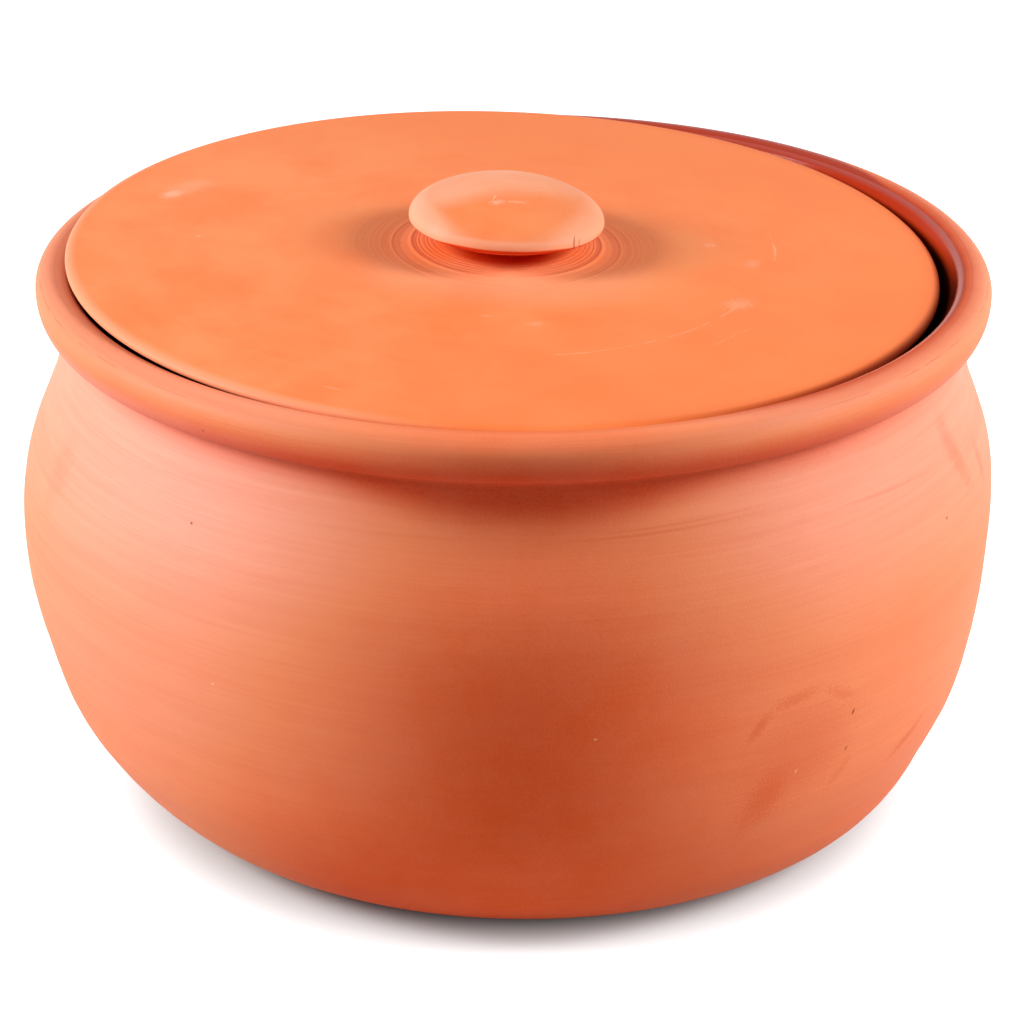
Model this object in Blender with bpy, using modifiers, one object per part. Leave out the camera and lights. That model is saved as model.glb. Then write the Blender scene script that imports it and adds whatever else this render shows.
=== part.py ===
# Clay yogurt pot: a wheel-thrown terracotta pot with a rolled rim, a glazed inside
# and a loose disc lid with a mushroom knob. Metres, +Z up, origin on the ground
# under the middle of the pot.
import math

import bpy
from mathutils import Euler, Matrix, Vector

# Rolled rim: an oval bead, fuller below its widest ring than above it
RIM_RADIUS = 0.1118
RIM_HEIGHT = 0.1325
BEAD_ROUND = 0.0040
BEAD_ABOVE = 0.0040
BEAD_BELOW = 0.0060
RIM_TOP_SLOPE = math.radians(6.0)

# Pot, outside: the neck below the bead, the belly and the flat base
NECK_FILLET = 0.0014
NECK_RADIUS = RIM_RADIUS - BEAD_ROUND - NECK_FILLET
NECK_DEPTH = 0.0165
NECK_HEIGHT = RIM_HEIGHT - NECK_DEPTH
BELLY_SWELL = 0.0085
BELLY_RADIUS = NECK_RADIUS + BELLY_SWELL
BELLY_HEIGHT = 0.0715
SHOULDER_FULLNESS = 1.3
BASE_RADIUS = 0.0700

# Pot, inside
BELLY_WALL = 0.0070
NECK_WALL = 0.0075
FLOOR_THICKNESS = 0.0080
FLOOR_INSET = 0.0030
SEAT_ANGLE = math.radians(61.0)
LIP_ROUND = 0.0012
THROAT_ROUND = 0.0050

# Glaze lining, fired onto the inside and over the rim's inner edge
GLAZE_THICKNESS = 0.0005
GLAZE_BORDER = 0.0006
LAYER_GAP = 0.0003

# Lid disc, a little smaller than the rim that it lies in
LID_INSET = 0.0088
LID_RADIUS = RIM_RADIUS - LID_INSET
LID_EDGE = 0.0032
LID_DOME = 0.0025
LID_THICKNESS = 0.0055

# The lid as it lies in its seat: pushed to one side and a little cocked
LID_SHIFT_X = -0.0016
LID_SHIFT_Y = 0.00075
LID_SINK = 0.0009
LID_LEVEL = RIM_HEIGHT - LID_SINK
LID_TILT_BACK = math.radians(0.75)
LID_TILT_SIDE = math.radians(1.65)
SEAT_CLEARANCE = 0.0004

# Knob: a mushroom cap on a short waist that flares into a mound on the disc
CAP_RADIUS = 0.0227
CAP_DOME = 0.0078
CAP_LIP_WIDTH = 0.0032
CAP_LIP_DEPTH = 0.0022
WAIST_RADIUS = 0.0128
WAIST_HEIGHT = 0.0027
WAIST_FILLET = 0.0010
MOUND_RADIUS = 0.0250
MOUND_RISE = 0.0019
MOUND_EDGE = 0.0006

# Facets round each turned piece, then along the curves of the profiles
POT_STEPS = 64
LID_STEPS = 64
KNOB_STEPS = 40
WALL_FACETS = 8
SHOULDER_FACETS = 5
CAP_FACETS = 8
DISC_FACETS = 6
MOUND_FACETS = 3
ROUND_FACETS = 4
LIP_FACETS = 3
FILLET_FACETS = 2
SEAT_SAMPLES = 72

NAME = "clay_yogurt_pot"
MERGE_DISTANCE = 0.00001
SAME_POINT = 0.00005

TERRACOTTA = (0.78, 0.30, 0.15, 1.0)
TERRACOTTA_ROUGHNESS = 0.85
LID_CLAY = (0.84, 0.33, 0.13, 1.0)
LID_ROUGHNESS = 0.75
GLAZE = (0.30, 0.055, 0.030, 1.0)
GLAZE_ROUGHNESS = 0.12


def clear_scene():
    """Remove whatever the scene holds."""
    for obj in list(bpy.data.objects):
        bpy.data.objects.remove(obj, do_unlink=True)


def finish(name, colour, roughness):
    """A plain material with one colour and one roughness."""
    material = bpy.data.materials.new(name)
    material.use_nodes = True
    shader = material.node_tree.nodes["Principled BSDF"]
    shader.inputs["Base Color"].default_value = colour
    shader.inputs["Roughness"].default_value = roughness
    shader.inputs["Metallic"].default_value = 0.0
    return material


def oval(centre, across, up, start, end, count):
    """Points on an oval, from one angle to another in degrees, both included."""
    points = []
    for i in range(count + 1):
        angle = math.radians(start + (end - start) * i / count)
        points.append((centre[0] + across * math.cos(angle), centre[1] + up * math.sin(angle)))
    return points


def rounded(before, apex, after, radius, count):
    """The corner at apex of a broken line, rounded with an arc of the given radius."""
    tip = Vector(apex)
    back = (Vector(before) - tip).normalized()
    ahead = (Vector(after) - tip).normalized()
    half = back.angle(ahead) / 2.0
    reach = radius / math.tan(half)
    hub = tip + (back + ahead).normalized() * radius / math.sin(half)
    spoke = tip + back * reach - hub
    turn = (tip + ahead * reach - hub).angle_signed(spoke)
    points = []
    for i in range(count + 1):
        point = hub + Matrix.Rotation(turn * i / count, 2) @ spoke
        points.append((point.x, point.y))
    return points


def shoulder(low, high, count):
    """The soft S from the belly, point low, in to the neck, point high."""
    points = []
    for i in range(count + 1):
        part = i / count
        drawn_in = (1.0 - math.cos(math.pi * part ** SHOULDER_FULLNESS)) / 2.0
        points.append((low[0] + (high[0] - low[0]) * drawn_in, low[1] + (high[1] - low[1]) * part))
    return points


def offset(points, distance):
    """A profile moved sideways, to the right of its own direction."""
    moved = []
    for i, (radius, height) in enumerate(points):
        before = points[max(i - 1, 0)]
        after = points[min(i + 1, len(points) - 1)]
        along = (Vector(after) - Vector(before)).normalized()
        moved.append((max(radius + along.y * distance, 0.0), height - along.x * distance))
    return moved


def without_repeats(points):
    """The profile with points that coincide merged into one."""
    kept = [points[0]]
    for point in points[1:]:
        if math.dist(point, kept[-1]) > SAME_POINT:
            kept.append(point)
    return kept


def turned(name, profile, steps, material, collection, parent=None):
    """A solid of revolution: the profile stands at +X and runs down its outer side."""
    mesh = bpy.data.meshes.new(name)
    vertices = [(radius, 0.0, height) for radius, height in without_repeats(profile)]
    mesh.from_pydata(vertices, [(i, i + 1) for i in range(len(vertices) - 1)], [])
    obj = bpy.data.objects.new(name, mesh)
    collection.objects.link(obj)
    screw = obj.modifiers.new("turn", "SCREW")
    screw.axis = "Z"
    screw.angle = 2.0 * math.pi
    screw.steps = steps
    screw.render_steps = steps
    screw.use_merge_vertices = True
    screw.merge_threshold = MERGE_DISTANCE
    screw.use_smooth_shade = True
    mesh.materials.append(material)
    obj.parent = parent
    return obj


def lid_place():
    """Where the middle of the lid's edge ring lies in the pot, with the lid's tilt."""
    tilt = Euler((LID_TILT_BACK, LID_TILT_SIDE, 0.0)).to_matrix().to_4x4()
    return Matrix.Translation((LID_SHIFT_X, LID_SHIFT_Y, LID_LEVEL)) @ tilt


def seat_radius(height):
    """Radius of the funnel-shaped seat at a height: it clears the lid's edge all round."""
    place = lid_place()
    ring = LID_RADIUS - LID_EDGE / 2.0
    reach = 0.0
    for i in range(SEAT_SAMPLES):
        angle = 2.0 * math.pi * i / SEAT_SAMPLES
        point = place @ Vector((ring * math.cos(angle), ring * math.sin(angle), 0.0))
        run = (height - point.z) / math.tan(SEAT_ANGLE)
        reach = max(reach, math.hypot(point.x, point.y) + run)
    return reach + (LID_EDGE / 2.0 + SEAT_CLEARANCE) / math.sin(SEAT_ANGLE)


def rim_top(radius):
    """Height of the rim's top, which falls gently from the bead's crest to the lip."""
    crest = RIM_RADIUS - BEAD_ROUND
    return RIM_HEIGHT - (crest - radius) * math.tan(RIM_TOP_SLOPE)


def lip_apex():
    """Where the seat would meet the rim's top, before the lip is rounded."""
    fall = math.tan(RIM_TOP_SLOPE)
    rise = math.tan(SEAT_ANGLE)
    short = seat_radius(RIM_HEIGHT)
    radius = (short * rise - (RIM_RADIUS - BEAD_ROUND) * fall) / (rise - fall)
    return radius, rim_top(radius)


def inside():
    """The finished inside, from the middle of the floor up and out to the glaze's edge."""
    belly = BELLY_RADIUS - BELLY_WALL
    throat = NECK_RADIUS - NECK_WALL
    floor = BASE_RADIUS - FLOOR_INSET
    neck = (throat, NECK_HEIGHT)
    lip = lip_apex()
    throat_top = (throat, lip[1] - (lip[0] - throat) * math.tan(SEAT_ANGLE))
    border = RIM_RADIUS - BEAD_ROUND - GLAZE_BORDER
    edge = (border, rim_top(border))
    points = [(0.0, FLOOR_THICKNESS), (floor / 2.0, FLOOR_THICKNESS)]
    points += oval((floor, BELLY_HEIGHT), belly - floor, BELLY_HEIGHT - FLOOR_THICKNESS,
                   -90.0, 0.0, WALL_FACETS)
    points += shoulder((belly, BELLY_HEIGHT), neck, SHOULDER_FACETS)
    points += rounded(neck, throat_top, lip, THROAT_ROUND, FILLET_FACETS)
    points += rounded(throat_top, lip, edge, LIP_ROUND, LIP_FACETS)
    points.append(edge)
    return without_repeats(points)


def outside():
    """The outside, from the rim's crest down to the middle of the flat base."""
    bead = (RIM_RADIUS - BEAD_ROUND, RIM_HEIGHT - BEAD_ABOVE)
    under = bead[1] - BEAD_BELOW
    neck = (NECK_RADIUS, NECK_HEIGHT)
    points = oval(bead, BEAD_ROUND, BEAD_ABOVE, 90.0, 0.0, ROUND_FACETS)
    points += oval(bead, BEAD_ROUND, BEAD_BELOW, 0.0, -90.0, ROUND_FACETS)
    points += rounded(points[-1], (NECK_RADIUS, under), neck, NECK_FILLET, FILLET_FACETS)
    points += reversed(shoulder((BELLY_RADIUS, BELLY_HEIGHT), neck, SHOULDER_FACETS))
    points += oval((BASE_RADIUS, BELLY_HEIGHT), BELLY_RADIUS - BASE_RADIUS, BELLY_HEIGHT,
                   0.0, -90.0, WALL_FACETS)
    points.append((0.0, 0.0))
    return points


def pot_body(collection, material):
    """The thrown pot: floor, wall, neck and rolled rim in one piece of clay."""
    bed = offset(inside(), GLAZE_THICKNESS + LAYER_GAP)
    step = inside()[-1][0] + LAYER_GAP
    profile = bed + [(step, bed[-1][1]), (step, rim_top(step))] + outside()
    return turned("pot_body", profile, POT_STEPS, material, collection)


def inner_glaze(collection, material):
    """The glaze as a thin skin that lines the inside and laps over the lip."""
    skin = inside()
    back = offset(skin, GLAZE_THICKNESS)
    return turned("inner_glaze", skin + back[::-1], POT_STEPS, material, collection)


def lid_top(radius):
    """Height of the disc's upper face over the middle of its edge."""
    flat = LID_RADIUS - LID_EDGE / 2.0
    return LID_EDGE / 2.0 + LID_DOME * (1.0 - (radius / flat) ** 2)


def lid_disc(collection, material, parent):
    """The lid: a slightly domed disc with a rounded edge."""
    flat = LID_RADIUS - LID_EDGE / 2.0
    rings = [flat * i / DISC_FACETS for i in range(DISC_FACETS)]
    upper = [(radius, lid_top(radius)) for radius in rings]
    edge = oval((flat, 0.0), LID_EDGE / 2.0, LID_EDGE / 2.0, 90.0, -90.0, 2 * ROUND_FACETS)
    centre = (0.0, lid_top(0.0) - LID_THICKNESS)
    profile = upper + edge + [centre]
    return turned("lid_disc", profile, LID_STEPS, material, collection, parent)


def lid_knob(collection, material, parent):
    """The knob, stuck on the middle of the disc with slip while both were damp."""
    mound_top = lid_top(WAIST_RADIUS) + LAYER_GAP + MOUND_RISE
    under = mound_top + WAIST_HEIGHT
    widest = under + CAP_LIP_DEPTH
    fillet = min(WAIST_FILLET, WAIST_HEIGHT / 3.0)
    mound_edge = (MOUND_RADIUS, lid_top(MOUND_RADIUS) + LAYER_GAP + MOUND_EDGE)
    waist_high = (WAIST_RADIUS, under)
    waist_low = (WAIST_RADIUS, mound_top)
    profile = oval((0.0, widest), CAP_RADIUS, CAP_DOME, 90.0, 0.0, CAP_FACETS)
    profile += oval((CAP_RADIUS - CAP_LIP_WIDTH, widest), CAP_LIP_WIDTH, CAP_LIP_DEPTH,
                    0.0, -90.0, ROUND_FACETS)
    profile += rounded(profile[-1], waist_high, waist_low, fillet, FILLET_FACETS)
    profile += rounded(waist_high, waist_low, mound_edge, fillet, FILLET_FACETS)
    profile.append(mound_edge)
    for i in range(MOUND_FACETS, -1, -1):
        radius = MOUND_RADIUS * i / MOUND_FACETS
        profile.append((radius, lid_top(radius) + LAYER_GAP))
    return turned("lid_knob", profile, KNOB_STEPS, material, collection, parent)


def build():
    """The whole object: the pot with its glaze, and the lid on an empty in its seat."""
    clear_scene()
    collection = bpy.data.collections.new(NAME)
    bpy.context.scene.collection.children.link(collection)
    terracotta = finish("terracotta", TERRACOTTA, TERRACOTTA_ROUGHNESS)
    lid_clay = finish("lid_clay", LID_CLAY, LID_ROUGHNESS)
    glaze = finish("brown_glaze", GLAZE, GLAZE_ROUGHNESS)

    pot_body(collection, terracotta)
    inner_glaze(collection, glaze)

    lid = bpy.data.objects.new("lid_place", None)
    collection.objects.link(lid)
    lid.matrix_world = lid_place()
    lid_disc(collection, lid_clay, lid)
    lid_knob(collection, lid_clay, lid)


build()
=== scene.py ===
# %% [markdown]
# # A clay yogurt pot
# This lesson dresses a wheel-thrown terracotta pot: a round body with a rolled rim, a brown
# glaze inside, and a loose lid with a mushroom knob. The plain solids come from the frame and
# keep their places. Each one gets a finer mesh here, with the marks that a potter's hands leave,
# and a clay or glaze made of shader nodes. Everything is in metres, +Z up.

# %% Load the frame
import functools
import math

import bpy
import numpy as np
from mathutils import Euler, Matrix, Vector


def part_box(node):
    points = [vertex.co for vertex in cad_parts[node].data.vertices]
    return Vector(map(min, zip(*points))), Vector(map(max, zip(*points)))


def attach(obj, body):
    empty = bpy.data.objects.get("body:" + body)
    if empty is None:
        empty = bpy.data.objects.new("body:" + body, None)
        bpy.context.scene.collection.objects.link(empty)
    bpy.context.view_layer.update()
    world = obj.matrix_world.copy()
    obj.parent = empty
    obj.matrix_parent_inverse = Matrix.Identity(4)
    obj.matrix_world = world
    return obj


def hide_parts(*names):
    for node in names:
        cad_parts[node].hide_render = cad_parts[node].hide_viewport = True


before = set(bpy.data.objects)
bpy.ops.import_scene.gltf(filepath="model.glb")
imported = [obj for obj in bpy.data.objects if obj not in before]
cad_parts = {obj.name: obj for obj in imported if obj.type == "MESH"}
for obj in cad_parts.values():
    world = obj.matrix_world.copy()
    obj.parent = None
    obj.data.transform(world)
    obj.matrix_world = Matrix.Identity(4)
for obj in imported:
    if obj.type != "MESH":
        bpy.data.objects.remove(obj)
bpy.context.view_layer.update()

MM = 0.001

# %% [markdown]
# ## The camera
# A pot photographed in a studio is usually shot from a metre away or more with a long lens,
# so that its round rim doesn't bulge. The camera could be aimed with a Track To constraint, but
# plain angles are clearer when the view has to match a photograph: here it looks 23.6 degrees
# down, and a small roll tips the rim to the right as the photograph does.

# %% Camera
CAMERA_PLACE = (0.0001, -1.0092, 0.5077)
CAMERA_DOWN = math.radians(23.56)
CAMERA_ROLL = math.radians(0.52)
CAMERA_NEAREST = 0.05
LENS_MM = 161.2


def add_camera():
    """The camera, looking along +Y and down."""
    data = bpy.data.cameras.new("camera")
    data.lens = LENS_MM
    data.clip_start = CAMERA_NEAREST
    camera = bpy.data.objects.new("camera", data)
    bpy.context.scene.collection.objects.link(camera)
    tilt = Matrix.Rotation(math.pi / 2 - CAMERA_DOWN, 4, "X")
    roll = Matrix.Rotation(CAMERA_ROLL, 4, "Z")
    camera.matrix_world = Matrix.Translation(CAMERA_PLACE) @ tilt @ roll
    bpy.context.scene.camera = camera
    return camera


camera = add_camera()
print("camera looks along", [round(v, 3) for v in camera.matrix_world.to_3x3() @ Vector((0, 0, -1))])

# %% [markdown]
# ## Curves for turned work
# Everything here was turned on a wheel, so each piece starts as half of its own outline.
# An outline could be drawn by hand as a Bezier curve. Small functions for arcs and rounded
# corners are better for a lesson, because each bend then has a radius that can be read and
# changed. `evenly` spaces the points out, so that the mesh is as fine as its details need, and
# `ringed` raises or sinks the line a little where a finger or a tool went round.

# %% Outline functions
SAME_POINT = 0.02 * MM


def oval(centre, across, up, start, end, count=24):
    """Points on an oval, from one angle to another in degrees, both included."""
    angles = [math.radians(start + (end - start) * i / count) for i in range(count + 1)]
    return [(centre[0] + across * math.cos(a), centre[1] + up * math.sin(a)) for a in angles]


def rounded(before, apex, after, radius, count=8):
    """The corner at apex of a broken line, rounded with an arc of the given radius."""
    tip = Vector(apex)
    back = (Vector(before) - tip).normalized()
    ahead = (Vector(after) - tip).normalized()
    half = back.angle(ahead) / 2
    reach = radius / math.tan(half)
    hub = tip + (back + ahead).normalized() * radius / math.sin(half)
    spoke = tip + back * reach - hub
    turn = (tip + ahead * reach - hub).angle_signed(spoke)
    points = [hub + Matrix.Rotation(turn * i / count, 2) @ spoke for i in range(count + 1)]
    return [tuple(point) for point in points]


def evenly(points, spacing):
    """The same line with its points spaced evenly along it."""
    line = np.array(points)
    steps = np.hypot(*np.diff(line, axis=0).T)
    run = np.concatenate([[0], np.cumsum(steps)])
    wanted = np.linspace(0, run[-1], max(int(round(run[-1] / spacing)), 1) + 1)
    return list(zip(np.interp(wanted, run, line[:, 0]), np.interp(wanted, run, line[:, 1])))


def joined(*lines):
    """Lines end to end, with points that coincide kept once."""
    points = []
    for line in lines:
        for point in line:
            if not points or math.dist(point, points[-1]) > SAME_POINT:
                points.append((float(point[0]), float(point[1])))
    return points


def normals(line):
    """Unit vectors to the left of a line's own direction, one at each point."""
    along = np.gradient(line, axis=0)
    along /= np.linalg.norm(along, axis=1)[:, None]
    return np.stack([-along[:, 1], along[:, 0]], axis=1)


def bell(value, middle, spread):
    """1 at the middle, falling softly to 0 on both sides."""
    return np.exp(-((value - middle) / spread) ** 2)


def ringed(points, axis, rings):
    """The line pushed out along its own normal at rings: (where, how far, how wide), in mm."""
    line = np.array(points)
    push = sum(far * MM * bell(line[:, axis], where * MM, wide * MM) for where, far, wide in rings)
    return [tuple(point) for point in line + normals(line) * push[:, None]]


# %% [markdown]
# ## From outline to piece
# The Screw modifier sweeps an outline round the Z axis, as the wheel does. Its result is made
# a plain mesh, because a hand-thrown pot is never quite round: `reshape` then moves the points
# by a rule. A Displace modifier could do that too, but a rule in code can follow measured sway.

# %% Turning and reshaping
SHARP_ANGLE = math.radians(45)
WELD_DISTANCE = 0.001 * MM


def turned(name, profile, steps):
    """A piece swept round Z from an outline at +X that runs down its outer side."""
    mesh = bpy.data.meshes.new(name)
    count = len(profile)
    mesh.from_pydata([(r, 0, z) for r, z in profile], [(i, i + 1) for i in range(count - 1)], [])
    piece = bpy.data.objects.new(name, mesh)
    bpy.context.scene.collection.objects.link(piece)
    screw = piece.modifiers.new("turn", "SCREW")
    screw.steps = steps
    screw.render_steps = steps
    screw.use_merge_vertices = True
    screw.merge_threshold = WELD_DISTANCE
    seen = piece.evaluated_get(bpy.context.evaluated_depsgraph_get())
    solid = bpy.data.meshes.new_from_object(seen)
    piece.modifiers.clear()
    piece.data = solid
    bpy.data.meshes.remove(mesh)
    solid.name = name
    solid.shade_smooth()
    solid.set_sharp_from_angle(angle=SHARP_ANGLE)
    print(name, "has", len(solid.polygons), "faces")
    return piece


def reshape(piece, rule):
    """Moves every point of a piece by a rule on an array of points."""
    points = np.empty(len(piece.data.vertices) * 3)
    piece.data.vertices.foreach_get("co", points)
    piece.data.vertices.foreach_set("co", rule(points.reshape(-1, 3)).ravel())
    piece.data.update()


# %% [markdown]
# ## The sizes of the pot
# The height and the belly come from the frame's solids. The rest are the potter's own sizes:
# an oval bead at the rim, a short neck, and a wall of about 7 mm. The lid's place is the tilt
# and shift with which it lies in its seat.

# %% Sizes
pot_low, pot_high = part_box("pot_body")
RIM_HEIGHT = pot_high.z
RIM_RADIUS = 111.8 * MM
BEAD_ROUND = 4 * MM
BEAD_ABOVE = 4 * MM
BEAD_BELOW = 7 * MM
RIM_TOP_CURVE = 0.05 / MM
NECK_FILLET = 2 * MM
NECK_RADIUS = RIM_RADIUS - BEAD_ROUND - NECK_FILLET
NECK_HEIGHT = RIM_HEIGHT - 16.5 * MM
BELLY_RADIUS = pot_high.x
BELLY_HEIGHT = 71.5 * MM
SHOULDER_FULLNESS = 1.3
BASE_RADIUS = 70 * MM
BELLY_WALL = 7 * MM
NECK_WALL = 6.9 * MM
FLOOR_THICKNESS = 8 * MM
FLOOR_INSET = 3 * MM
SEAT_ANGLE = math.radians(61)
LIP_RADIUS = 104 * MM
LIP_ROUND = 1.2 * MM
THROAT_ROUND = 5 * MM
GLAZE_THICKNESS = 0.5 * MM
GLAZE_EDGE = RIM_RADIUS - BEAD_ROUND - 0.6 * MM
LAYER_GAP = 0.3 * MM
EDGE_GAP = 0.04 * MM

LID_RADIUS = 103 * MM
LID_EDGE = 3.2 * MM
LID_ROUND = 3 * MM
LID_DOME = 2.5 * MM
LID_THICKNESS = 5.5 * MM
LID_PLACE = (-1.9 * MM, 0.70 * MM, RIM_HEIGHT - 0.9 * MM)
LID_TILT = (math.radians(0.75), math.radians(1.65), 0)

POT_STEPS = 288
LID_STEPS = 288
KNOB_STEPS = 192
print("rim", round(RIM_HEIGHT / MM, 1), "belly", round(BELLY_RADIUS / MM, 1), "mm")

# %% [markdown]
# ## The pot's outline
# The outside runs from the crest of the bead over its widest ring, under it into a tight hollow,
# down a soft S to the belly and round to the flat base. The inside is the same wall seen from
# within, with a funnel at the top that the lid lies in. Fingers left slow rings up the wall, a
# tenth of a millimetre high, which show only where light grazes them.

# %% Pot outline
BEAD_SPACING = 0.3 * MM
WALL_SPACING = 0.8 * MM
BASE_SPACING = 6 * MM
INSIDE_SPACING = 3 * MM
SEAT_SPACING = 0.6 * MM
THROWING_RINGS = [
    (118.6, 0.10, 0.5),
    (113.5, -0.08, 0.9),
    (109.5, 0.06, 1.2),
    (104, -0.07, 1.6),
    (93, 0.08, 3),
    (81, -0.08, 3.5),
    (58, 0.08, 4),
    (45, -0.10, 3),
    (33, 0.10, 3),
    (21, -0.08, 2.5),
]


def shoulder(low, high, count=60):
    """The soft S from the belly, point low, in to the neck, point high."""
    points = []
    for i in range(count + 1):
        part = i / count
        drawn_in = (1 - math.cos(math.pi * part ** SHOULDER_FULLNESS)) / 2
        points.append((low[0] + (high[0] - low[0]) * drawn_in, low[1] + (high[1] - low[1]) * part))
    return points


def rim_top(radius):
    """Height of the rim's top, which rounds over from the bead's crest to the lip."""
    return RIM_HEIGHT - RIM_TOP_CURVE * (RIM_RADIUS - BEAD_ROUND - radius) ** 2


def inside():
    """The finished inside, from the middle of the floor up and out to the glaze's edge."""
    belly = BELLY_RADIUS - BELLY_WALL
    throat = NECK_RADIUS - NECK_WALL
    floor = BASE_RADIUS - FLOOR_INSET
    neck = (throat, NECK_HEIGHT)
    lip = (LIP_RADIUS, rim_top(LIP_RADIUS))
    throat_top = (throat, lip[1] - (lip[0] - throat) * math.tan(SEAT_ANGLE))
    over = [(radius, rim_top(radius)) for radius in np.linspace(LIP_RADIUS + LIP_ROUND, GLAZE_EDGE, 12)]
    wall = joined([(0, FLOOR_THICKNESS)],
                  oval((floor, BELLY_HEIGHT), belly - floor, BELLY_HEIGHT - FLOOR_THICKNESS, -90, 0),
                  shoulder((belly, BELLY_HEIGHT), neck))
    top = joined([neck], rounded(neck, throat_top, lip, THROAT_ROUND),
                 rounded(throat_top, lip, over[0], LIP_ROUND), over)
    return joined(evenly(wall, INSIDE_SPACING), evenly(top, SEAT_SPACING))


def offset(points, distance):
    """A line moved sideways, to the right of its own direction."""
    line = np.array(points)
    moved = line - normals(line) * distance
    moved[:, 0] = np.maximum(moved[:, 0], 0)
    return [tuple(point) for point in moved]


def outside():
    """The outside, from the rim's crest down to the middle of the flat base."""
    bead = (RIM_RADIUS - BEAD_ROUND, RIM_HEIGHT - BEAD_ABOVE)
    under = (NECK_RADIUS, bead[1] - BEAD_BELOW)
    neck = (NECK_RADIUS, NECK_HEIGHT)
    upper_bead = oval(bead, BEAD_ROUND, BEAD_ABOVE, 90, 0)
    lower_bead = oval(bead, BEAD_ROUND, BEAD_BELOW, 0, -90)
    hollow = rounded(lower_bead[-1], under, neck, NECK_FILLET)
    bead_line = evenly(joined(upper_bead, lower_bead, hollow), BEAD_SPACING)
    wall = joined([hollow[-1]], list(reversed(shoulder((BELLY_RADIUS, BELLY_HEIGHT), neck))),
                  oval((BASE_RADIUS, BELLY_HEIGHT), BELLY_RADIUS - BASE_RADIUS, BELLY_HEIGHT, 0, -90))
    wall_line = ringed(evenly(wall, WALL_SPACING), 1, THROWING_RINGS)
    base = evenly([(BASE_RADIUS, 0), (0, 0)], BASE_SPACING)
    return joined(bead_line, wall_line, base)


pot_line = outside()
print("pot outline:", len(pot_line), "points")

# %% [markdown]
# ## The hand-thrown sway
# A thrown wall wanders a millimetre or so off its axis while the rim, folded over last, runs
# nearly true and only dips a little at the back left. The foot, pressed on the wheel's head, is
# fuller on the right, and over it the wall was patted flatter. The heel bulges low on the left,
# and the belly is fuller on both sides than from front to back. Each of these is a smooth rule
# of the height and of the way round. The clay and the glaze follow the same rules, so they stay
# together.

# %% Sway rule
SWAY_LOW = 30 * MM
SWAY_HIGH = 102 * MM
SWAY_ASIDE = -1.3 * MM
SWAY_FADE = 20 * MM
OUT_OF_ROUND = 0.25 * MM
OVAL_TURN = 0.8
OVAL_TWIST = 40 * MM
FOOT_HEIGHT = 9 * MM
FOOT_ASIDE = 1 * MM
FOOT_FULL = 1.5 * MM
FOOT_TOP = 24 * MM
FOOT_SIDE = math.radians(-20)
BELLY_FULL = 0.75 * MM
FULL_HEIGHT = 88 * MM
FULL_SPREAD = 22 * MM
PAT_HEIGHT = 44 * MM
PAT_SPREAD = 16 * MM
PAT_DEPTH = 0.25 * MM
HEEL_HEIGHT = 26 * MM
HEEL_SPREAD = 14 * MM
HEEL_FULL = 0.8 * MM
DIP_START = 112 * MM
DIP_RISE = 16 * MM
DIP_DEPTH = 1 * MM
DIP_SIDE = math.radians(112)


def eased(part):
    """From 0 to 1 with soft ends."""
    part = np.clip(part, 0, 1)
    return part * part * (3 - 2 * part)


def facing(angle, side=0):
    """1 towards a side of the pot, falling to 0 a quarter turn away."""
    return np.clip(np.cos(angle - side), 0, 1)


def thrown(points):
    """Moves the points of the pot as the potter's hands left them."""
    x, y, z = points.T.copy()
    angle = np.arctan2(y, x)
    middle = np.clip((z - SWAY_LOW) / (SWAY_HIGH - SWAY_LOW), 0, 1)
    aside = SWAY_ASIDE * np.sin(math.pi * middle) ** 2
    aside += FOOT_ASIDE * eased((SWAY_LOW - z) / (SWAY_LOW - FOOT_HEIGHT))
    below_rim = np.clip((SWAY_HIGH - z) / SWAY_FADE, 0, 1)
    push = OUT_OF_ROUND * below_rim * np.cos(2 * angle + OVAL_TURN + z / OVAL_TWIST)
    push += FOOT_FULL * (1 - eased(z / FOOT_TOP)) * (1 + np.cos(angle - FOOT_SIDE))
    push += BELLY_FULL * bell(z, FULL_HEIGHT, FULL_SPREAD) * np.cos(angle) ** 2
    push += HEEL_FULL * bell(z, HEEL_HEIGHT, HEEL_SPREAD) * facing(angle, math.pi) ** 2
    push -= PAT_DEPTH * bell(z, PAT_HEIGHT, PAT_SPREAD) * facing(angle)
    share = 1 + push / np.maximum(np.hypot(x, y), BASE_RADIUS)
    dip = DIP_DEPTH * eased((z - DIP_START) / DIP_RISE) * facing(angle, DIP_SIDE) ** 2
    return np.stack([x * share + aside, y * share, z - dip], axis=1)


# %% Pot and glaze meshes
skin = inside()
bed = offset(skin, GLAZE_THICKNESS + LAYER_GAP)
step = GLAZE_EDGE + EDGE_GAP
border = [(step, bed[-1][1]), (step, rim_top(step))]
pot_clay = turned("pot_clay", joined(bed, border, pot_line), POT_STEPS)
reshape(pot_clay, thrown)

back = list(reversed(offset(skin, GLAZE_THICKNESS)))
glaze_lining = turned("glaze_lining", joined(skin, back), POT_STEPS)
reshape(glaze_lining, thrown)

# %% [markdown]
# ## The lid
# The lid was turned upside down as a thick disc, then trimmed: its edge is rolled over softly,
# its top swells by 2.5 mm, and the fingers that smoothed the knob's joint left fine rings round
# it. The rings are real ridges in the outline, because light from the side picks them out. The
# knife took a little too much on the right, so the gap to the rim is wider there.

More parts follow.
